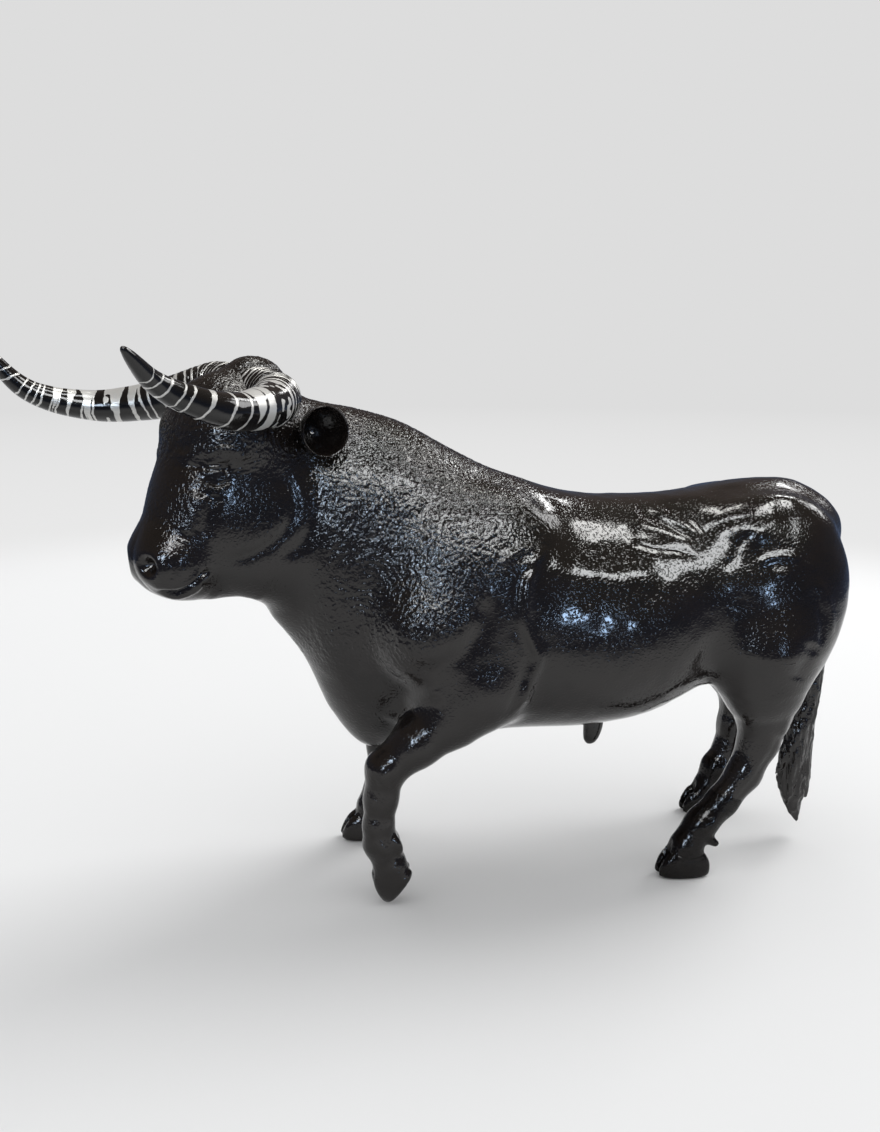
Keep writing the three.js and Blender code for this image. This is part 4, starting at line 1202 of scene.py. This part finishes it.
def black_lacquer(colours):
    """Gloss black lacquer sprayed over resin: deep and wet, with an orange peel that frays the
    edges of its highlights, and pebbled by the grainy clay wherever the coat was modelled."""
    finish, tree, place = new_finish(LACQUER)
    coat = add_node(tree, "ShaderNodeAttribute", attribute_name="coat").outputs["Fac"]
    # the clay's pebbles are drawn 1.8 mm wide and 3 mm long, as the strands hang
    hanging = add_node(tree, "ShaderNodeVectorMath", {0: place, 1: (1, 1, 0.6)},
                       operation="MULTIPLY").outputs[0]
    height = add_node(tree, "ShaderNodeMath", {
        0: bumps(tree, hanging, PEBBLES, 0.2), 1: coat, 2: bumps(tree, place, ORANGE_PEEL, 0.1),
    }, operation="MULTIPLY_ADD")
    bump = add_node(tree, "ShaderNodeBump", {"Height": height.outputs[0], "Distance": MM,
                                             "Strength": 1.0})
    # handling and dust dull the gloss in patches about 30 mm across
    worn = add_node(tree, "ShaderNodeTexNoise", {"Vector": place, "Scale": 1 / 0.03, "Detail": 3.0})
    gloss = add_node(tree, "ShaderNodeMapRange", {
        "Value": worn.outputs["Fac"], "From Min": 0.35, "From Max": 0.7,
        "To Min": 0.06, "To Max": 0.13,
    })
    tint = add_node(tree, "ShaderNodeMix", {
        "Factor": worn.outputs["Fac"], 6: (*colours.lacquer, 1), 7: (*linear("#1f1a18"), 1),
    }, data_type="RGBA")
    shader = add_node(tree, "ShaderNodeBsdfPrincipled", {
        "Base Color": tint.outputs[2], "Roughness": gloss.outputs[0], "IOR": 1.5,
        "Normal": bump.outputs[0],
    })
    add_node(tree, "ShaderNodeOutputMaterial", {"Surface": shader.outputs[0]})
    return finish


def horn_paint(colours):
    """Gloss black enamel with silver lacquer brushed round it in bands that run like drips."""
    finish, tree, place = new_finish("banded_enamel")
    depth = add_node(tree, "ShaderNodeAttribute", attribute_name="silver_depth").outputs["Fac"]
    # the brush's ragged edge wanders by a few tenths of a millimetre
    ragged = add_node(tree, "ShaderNodeTexNoise", {"Vector": place, "Scale": 1 / 0.0016,
                                                   "Detail": 2.0}).outputs["Fac"]
    edge = add_node(tree, "ShaderNodeMath", {0: ragged, 1: 0.9, 2: -0.45}, operation="MULTIPLY_ADD")
    inked = add_node(tree, "ShaderNodeMath", {0: depth, 1: edge.outputs[0]}, operation="ADD")
    silver = add_node(tree, "ShaderNodeMapRange", {
        "Value": inked.outputs[0], "From Min": -0.12, "From Max": 0.16}).outputs[0]
    colour = add_node(tree, "ShaderNodeMix", {
        "Factor": silver, 6: (*colours.lacquer, 1), 7: (*colours.silver, 1)}, data_type="RGBA")
    gloss = add_node(tree, "ShaderNodeMapRange", {"Value": silver, "To Min": 0.12, "To Max": 0.34})
    metal = add_node(tree, "ShaderNodeMapRange", {"Value": silver, "To Min": 0.0, "To Max": 0.4})
    # the silver stands 0.06 mm proud of the enamel, so that its edges catch the light
    film = add_node(tree, "ShaderNodeMath", {
        0: silver, 1: 0.06, 2: bumps(tree, place, ORANGE_PEEL, 0.02)}, operation="MULTIPLY_ADD")
    bump = add_node(tree, "ShaderNodeBump", {"Height": film.outputs[0], "Distance": MM})
    shader = add_node(tree, "ShaderNodeBsdfPrincipled", {
        "Base Color": colour.outputs[2], "Roughness": gloss.outputs[0],
        "Metallic": metal.outputs[0], "IOR": 1.5, "Normal": bump.outputs[0],
    })
    add_node(tree, "ShaderNodeOutputMaterial", {"Surface": shader.outputs[0]})
    return finish


def welded_steel(colours):
    """Mild steel bar as it comes from the mill, wire-brushed, with scale left in patches."""
    finish, tree, place = new_finish("welded_mild_steel")
    # patches of mill scale are about 12 mm across
    scale = add_node(tree, "ShaderNodeTexNoise", {"Vector": place, "Scale": 1 / 0.012, "Detail": 4.0})
    patches = add_node(tree, "ShaderNodeMapRange", {
        "Value": scale.outputs["Fac"], "From Min": 0.45, "From Max": 0.62}).outputs[0]
    colour = add_node(tree, "ShaderNodeMix", {
        "Factor": patches, 6: (*colours.steel, 1), 7: (*linear("#4c4643"), 1)}, data_type="RGBA")
    gloss = add_node(tree, "ShaderNodeMapRange", {"Value": patches, "To Min": 0.32, "To Max": 0.6})
    # the wire brush leaves scratches about 0.4 mm apart
    brushed = add_node(tree, "ShaderNodeTexNoise", {"Vector": place, "Scale": 1 / 0.0004})
    bump = add_node(tree, "ShaderNodeBump", {"Height": brushed.outputs["Fac"],
                                             "Distance": 0.02 * MM})
    shader = add_node(tree, "ShaderNodeBsdfPrincipled", {
        "Base Color": colour.outputs[2], "Roughness": gloss.outputs[0], "Metallic": 1.0,
        "Normal": bump.outputs[0],
    })
    add_node(tree, "ShaderNodeOutputMaterial", {"Surface": shader.outputs[0]})
    return finish


def studio_floor(colours):
    """Matt white paper that takes the shadows near the bull and runs out into its background,
    which only the camera sees; what the lacquer mirrors beyond the paper is a dark floor."""
    finish, tree, place = new_finish("matt_paper")
    paper = add_node(tree, "ShaderNodeBsdfDiffuse", {"Color": (*colours.floor, 1)})
    dark = add_node(tree, "ShaderNodeBsdfDiffuse", {"Color": (*linear("#465268"), 1)})
    far = add_node(tree, "ShaderNodeVectorMath", {0: place, 1: PAPER_MIDDLE},
                   operation="DISTANCE")
    faded = add_node(tree, "ShaderNodeMapRange", {
        "Value": far.outputs["Value"], "From Min": PAPER_FAR, "From Max": PAPER_FADED})
    colour = add_node(tree, "ShaderNodeMix", {
        "Factor": faded.outputs[0], 6: (*linear("#e8e8e8"), 1), 7: (*colours.background, 1),
    }, data_type="RGBA")
    beyond = add_node(tree, "ShaderNodeEmission", {"Color": colour.outputs[2]})
    path = add_node(tree, "ShaderNodeLightPath")
    outside = add_node(tree, "ShaderNodeMixShader", {
        0: path.outputs["Is Camera Ray"], 1: dark.outputs[0], 2: beyond.outputs[0]})
    share = add_node(tree, "ShaderNodeMapRange", {
        "Value": far.outputs["Value"], "From Min": PAPER_NEAR, "From Max": PAPER_FAR,
    }, interpolation_type="SMOOTHERSTEP")
    shader = add_node(tree, "ShaderNodeMixShader", {
        0: share.outputs["Result"], 1: paper.outputs[0], 2: outside.outputs[0],
    })
    add_node(tree, "ShaderNodeOutputMaterial", {"Surface": shader.outputs[0]})
    return finish


# How much light comes from the studio's air, and from its walls at the bull's level and higher up
AIR_LIGHT = (0.87, 0.875, 0.88, 1)
WALL_LIGHT = (0.08, 0.1, 0.15, 1), (0.17, 0.14, 0.12, 1)


def studio_air(colours):
    """Even pale air that lights the paper, the dim walls that the lacquer mirrors, and the paper's
    background where the camera looks past it."""
    world = bpy.data.worlds.new("studio_air")
    world.use_nodes = True
    tree = world.node_tree
    tree.nodes.clear()
    seen = add_node(tree, "ShaderNodeBackground", {"Color": (*colours.background, 1)})
    way = add_node(tree, "ShaderNodeTexCoord").outputs["Generated"]
    up = add_node(tree, "ShaderNodeSeparateXYZ", {"Vector": way}).outputs["Z"]
    height = add_node(tree, "ShaderNodeMapRange", {"Value": up, "From Min": 0.0, "From Max": 0.5})
    walls = add_node(tree, "ShaderNodeMix", {
        "Factor": height.outputs[0], 6: WALL_LIGHT[0], 7: WALL_LIGHT[1],
    }, data_type="RGBA")
    path = add_node(tree, "ShaderNodeLightPath")
    air = add_node(tree, "ShaderNodeMix", {
        "Factor": path.outputs["Is Glossy Ray"], 6: AIR_LIGHT, 7: walls.outputs[2],
    }, data_type="RGBA")
    around = add_node(tree, "ShaderNodeBackground", {"Color": air.outputs[2]})
    mixed = add_node(tree, "ShaderNodeMixShader", {
        0: path.outputs["Is Camera Ray"], 1: around.outputs[0], 2: seen.outputs[0],
    })
    add_node(tree, "ShaderNodeOutputWorld", {"Surface": mixed.outputs[0]})
    return world


SHARP_EDGE = math.radians(40)


def finished(piece, finish, node):
    """Gives a piece its finish and its body, and hides the imported part of the node that it stands
    for.
    """
    piece.data.materials.clear()
    piece.data.materials.append(finish)
    activate(piece)
    bpy.ops.object.shade_smooth_by_angle(angle=SHARP_EDGE)
    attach(piece, "root")
    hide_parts(node)


def note_coat(piece):
    """Notes how thickly the lacquer of a casting is pebbled: by the coat, in the patch on the
    face, in the ring round the shoulder's point and a little on the legs."""
    p = read_points(piece)
    h = to_head(p)
    mask = np.maximum(coat_mask(p, h), face_patch(h) * (p[:, 0] < HEAD_START_X))
    ring = stroke_height(p[:, [0, 2]], [SHOULDER_RING])
    legs = LEG_PEBBLES * soft_step(p[:, 2], *LEG_PEBBLES_Z)
    note(piece, "coat", np.maximum(np.maximum(mask, ring), legs))


# What a user may change


class BullSizes(bpy.types.PropertyGroup):
    skin_grain: FloatProperty(
        name="Skin grain", description="Size of the castings' faces, in mm",
        default=SKIN_GRAIN, min=1.0, max=6.0)
    lens: FloatProperty(
        name="Lens", description="Focal length of the camera that the photograph was taken with",
        default=35.68, min=10, max=200, subtype="DISTANCE_CAMERA")


class BullColours(bpy.types.PropertyGroup):
    lacquer: FloatVectorProperty(
        name="Lacquer", description="Colour of the castings' lacquer",
        default=linear("#12100f"), size=3, min=0, max=1, subtype="COLOR")
    silver: FloatVectorProperty(
        name="Silver", description="Colour of the horns' silver paint",
        default=linear("#d2d1cd"), size=3, min=0, max=1, subtype="COLOR")
    steel: FloatVectorProperty(
        name="Steel", description="Colour of the armature's steel",
        default=linear("#8b8f94"), size=3, min=0, max=1, subtype="COLOR")
    floor: FloatVectorProperty(
        name="Floor", description="Colour of the studio's paper floor",
        default=linear("#e0e0e0"), size=3, min=0, max=1, subtype="COLOR")
    background: FloatVectorProperty(
        name="Background", description="Colour that the paper runs out into",
        default=linear("#dddddd"), size=3, min=0, max=1, subtype="COLOR")


# Lamps: place, width and height in metres, power in watts, colour. The lacquer mirrors the
# small ones as highlights; the large one only lights the paper
MIRRORED_LAMPS = [
    ((-0.05, -0.35, 1.75), (0.8, 0.26), 9, (0.97, 0.99, 1.0)),  # overhead, before the shoulder
    ((0.85, -0.1, 1.75), (0.7, 0.26), 8, (1.0, 1.0, 0.98)),     # overhead, past the rump
    ((0.1, 0.6, 1.75), (0.7, 0.25), 6, (1.0, 0.99, 0.95)),      # overhead, on the far side
    ((1.5, 1.5, 1.7), (0.5, 0.4), 7, (1.0, 1.0, 1.0)),          # on the far side, past the rump
    ((0.25, -1.6, 1.5), (2.2, 0.56), 52, (0.97, 0.99, 1.0)),    # strip above and behind the camera
    ((1.6, -4.85, 0.2), (0.33, 0.7), 19, (0.5, 0.7, 1.0)),      # window far behind the camera
    ((2.2, 0.9, 1.5), (0.8, 0.8), 10, (1.0, 1.0, 1.0)),         # behind the rump
    ((-1.0, -1.9, 0.7), (0.32, 0.6), 13, (0.68, 0.82, 1.0)),    # window to the left of the camera
]
PAPER_LAMP = ((4.2, 2.0, 4.4), (3.4, 3.4), 235, (1.0, 1.0, 1.0))
LIT_PLACE = Vector((0, 0, 0.2))    # the bull's middle, which every lamp faces
FLOOR_SIZE = 30.0
PAPER_MIDDLE = (0.0, 0.5, 0.0)
PAPER_NEAR, PAPER_FAR = 0.75, 1.5  # metres from its middle over which the lit paper runs out
PAPER_FADED = 6.0                  # metres from there at which its colour is the background's

CAMERA_PLACE = (-0.1536, -0.7525, 0.400)
CAMERA_YAW, CAMERA_PITCH = 10.7, 11.241   # degrees to the right of +Y, and down
SENSOR_WIDTH = 36                         # mm
CAMERA_SIGHT = 50                         # metres, which takes in the whole paper


def add_lamp(place, size, power, colour):
    """A softbox that faces the bull, with its width level."""
    bpy.ops.object.light_add(type="AREA", location=place)
    lamp = bpy.context.object
    lamp.data.shape = "RECTANGLE"
    lamp.data.size, lamp.data.size_y = size
    lamp.data.energy = power
    lamp.data.color = colour
    lamp.visible_camera = False
    back = (Vector(place) - LIT_PLACE).normalized()
    level = Vector((-back.y, back.x, 0)).normalized()
    lamp.rotation_euler = Matrix((level, back.cross(level), back)).transposed().to_euler()
    return lamp


class BULL_OT_studio(bpy.types.Operator):
    """Adds the camera, the paper floor and the lamps"""
    bl_idname = "bull.studio"
    bl_label = "Studio"

    def execute(self, context):
        scene = context.scene
        deselect()
        bpy.ops.object.camera_add(location=CAMERA_PLACE, rotation=(
            math.radians(90 - CAMERA_PITCH), 0, -math.radians(CAMERA_YAW)))
        camera = context.object
        camera.data.lens = scene.bull_sizes.lens
        camera.data.sensor_width = SENSOR_WIDTH
        camera.data.clip_end = CAMERA_SIGHT
        scene.camera = camera

        bpy.ops.mesh.primitive_plane_add(size=FLOOR_SIZE)
        floor = context.object
        floor.name = floor.data.name = "paper_floor"
        floor.data.materials.append(studio_floor(scene.bull_colours))
        for row in (*MIRRORED_LAMPS, PAPER_LAMP):
            lamp = add_lamp(*row)
            lamp.visible_glossy = row is not PAPER_LAMP
            lamp.visible_diffuse = row is PAPER_LAMP
        scene.world = studio_air(scene.bull_colours)
        scene.view_settings.view_transform = "Standard"
        return {"FINISHED"}


class BULL_OT_castings(bpy.types.Operator):
    """Models the clay figure, sculpts it and parts it into its castings"""
    bl_idname = "bull.castings"
    bl_label = "Castings"

    def execute(self, context):
        scene = context.scene
        grain = scene.bull_sizes.skin_grain
        figure = clay_figure("figure", grain)
        core = clay_core(figure)
        refine(figure)
        drawn_to_clay(figure, passes=1)
        sculpt(figure)
        lacquer = black_lacquer(scene.bull_colours)
        for name, piece in cast_and_parted(figure, core).items():
            note_coat(piece)
            finished(piece, lacquer, CASTING_NODES.get(name, name))
        return {"FINISHED"}


class BULL_OT_horns(bpy.types.Operator):
    """Rolls the horns and paints their bands"""
    bl_idname = "bull.horns"
    bl_label = "Horns"

    def execute(self, context):
        paint = horn_paint(context.scene.bull_colours)
        for name in HORN_LINES:
            finished(horn(name), paint, name)
        return {"FINISHED"}


class BULL_OT_ears(bpy.types.Operator):
    """Models the cupped ears"""
    bl_idname = "bull.ears"
    bl_label = "Ears"

    def execute(self, context):
        lacquer = bpy.data.materials[LACQUER]
        for name, side in (("ear_left", -1), ("ear_right", 1)):
            finished(ear(name, side), lacquer, name)
        return {"FINISHED"}


class BULL_OT_tail(bpy.types.Operator):
    """Models the tail and combs its switch"""
    bl_idname = "bull.tail"
    bl_label = "Tail"

    def execute(self, context):
        finished(tail(), bpy.data.materials[LACQUER], "tail")
        return {"FINISHED"}


class BULL_OT_sheath(bpy.types.Operator):
    """Models the sheath under the belly"""
    bl_idname = "bull.sheath"
    bl_label = "Sheath"

    def execute(self, context):
        finished(sheath(), bpy.data.materials[LACQUER], "sheath")
        return {"FINISHED"}


STEEL_NODES = [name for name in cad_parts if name.endswith("bar") or "rod" in name
               or name == "tail_wire"]


class BULL_OT_armature(bpy.types.Operator):
    """Gives the armature's bars and rods their steel"""
    bl_idname = "bull.armature"
    bl_label = "Armature"

    def execute(self, context):
        steel = welded_steel(context.scene.bull_colours)
        for name in STEEL_NODES:
            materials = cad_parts[name].data.materials
            materials.clear()
            materials.append(steel)
        return {"FINISHED"}


STEPS = [BULL_OT_studio, BULL_OT_castings, BULL_OT_horns, BULL_OT_ears, BULL_OT_tail,
         BULL_OT_sheath, BULL_OT_armature]


class BULL_PT_panel(bpy.types.Panel):
    bl_idname = "BULL_PT_panel"
    bl_label = "Bull garden sculpture"
    bl_space_type = "VIEW_3D"
    bl_region_type = "UI"
    bl_category = "Bull"

    def draw(self, context):
        scene = context.scene
        for group in (scene.bull_sizes, scene.bull_colours):
            for key in group.bl_rna.properties.keys():
                if key not in ("rna_type", "name"):
                    self.layout.prop(group, key)
        for step in STEPS:
            self.layout.operator(step.bl_idname)


CLASSES = [BullSizes, BullColours, *STEPS, BULL_PT_panel]


def register():
    for kind in CLASSES:
        bpy.utils.register_class(kind)
    bpy.types.Scene.bull_sizes = PointerProperty(type=BullSizes)
    bpy.types.Scene.bull_colours = PointerProperty(type=BullColours)


def unregister():
    del bpy.types.Scene.bull_colours
    del bpy.types.Scene.bull_sizes
    for kind in reversed(CLASSES):
        bpy.utils.unregister_class(kind)


def main():
    register()
    bpy.ops.bull.studio()
    bpy.ops.bull.castings()
    bpy.ops.bull.horns()
    bpy.ops.bull.ears()
    bpy.ops.bull.tail()
    bpy.ops.bull.sheath()
    bpy.ops.bull.armature()


if __name__ == "__main__":
    main()
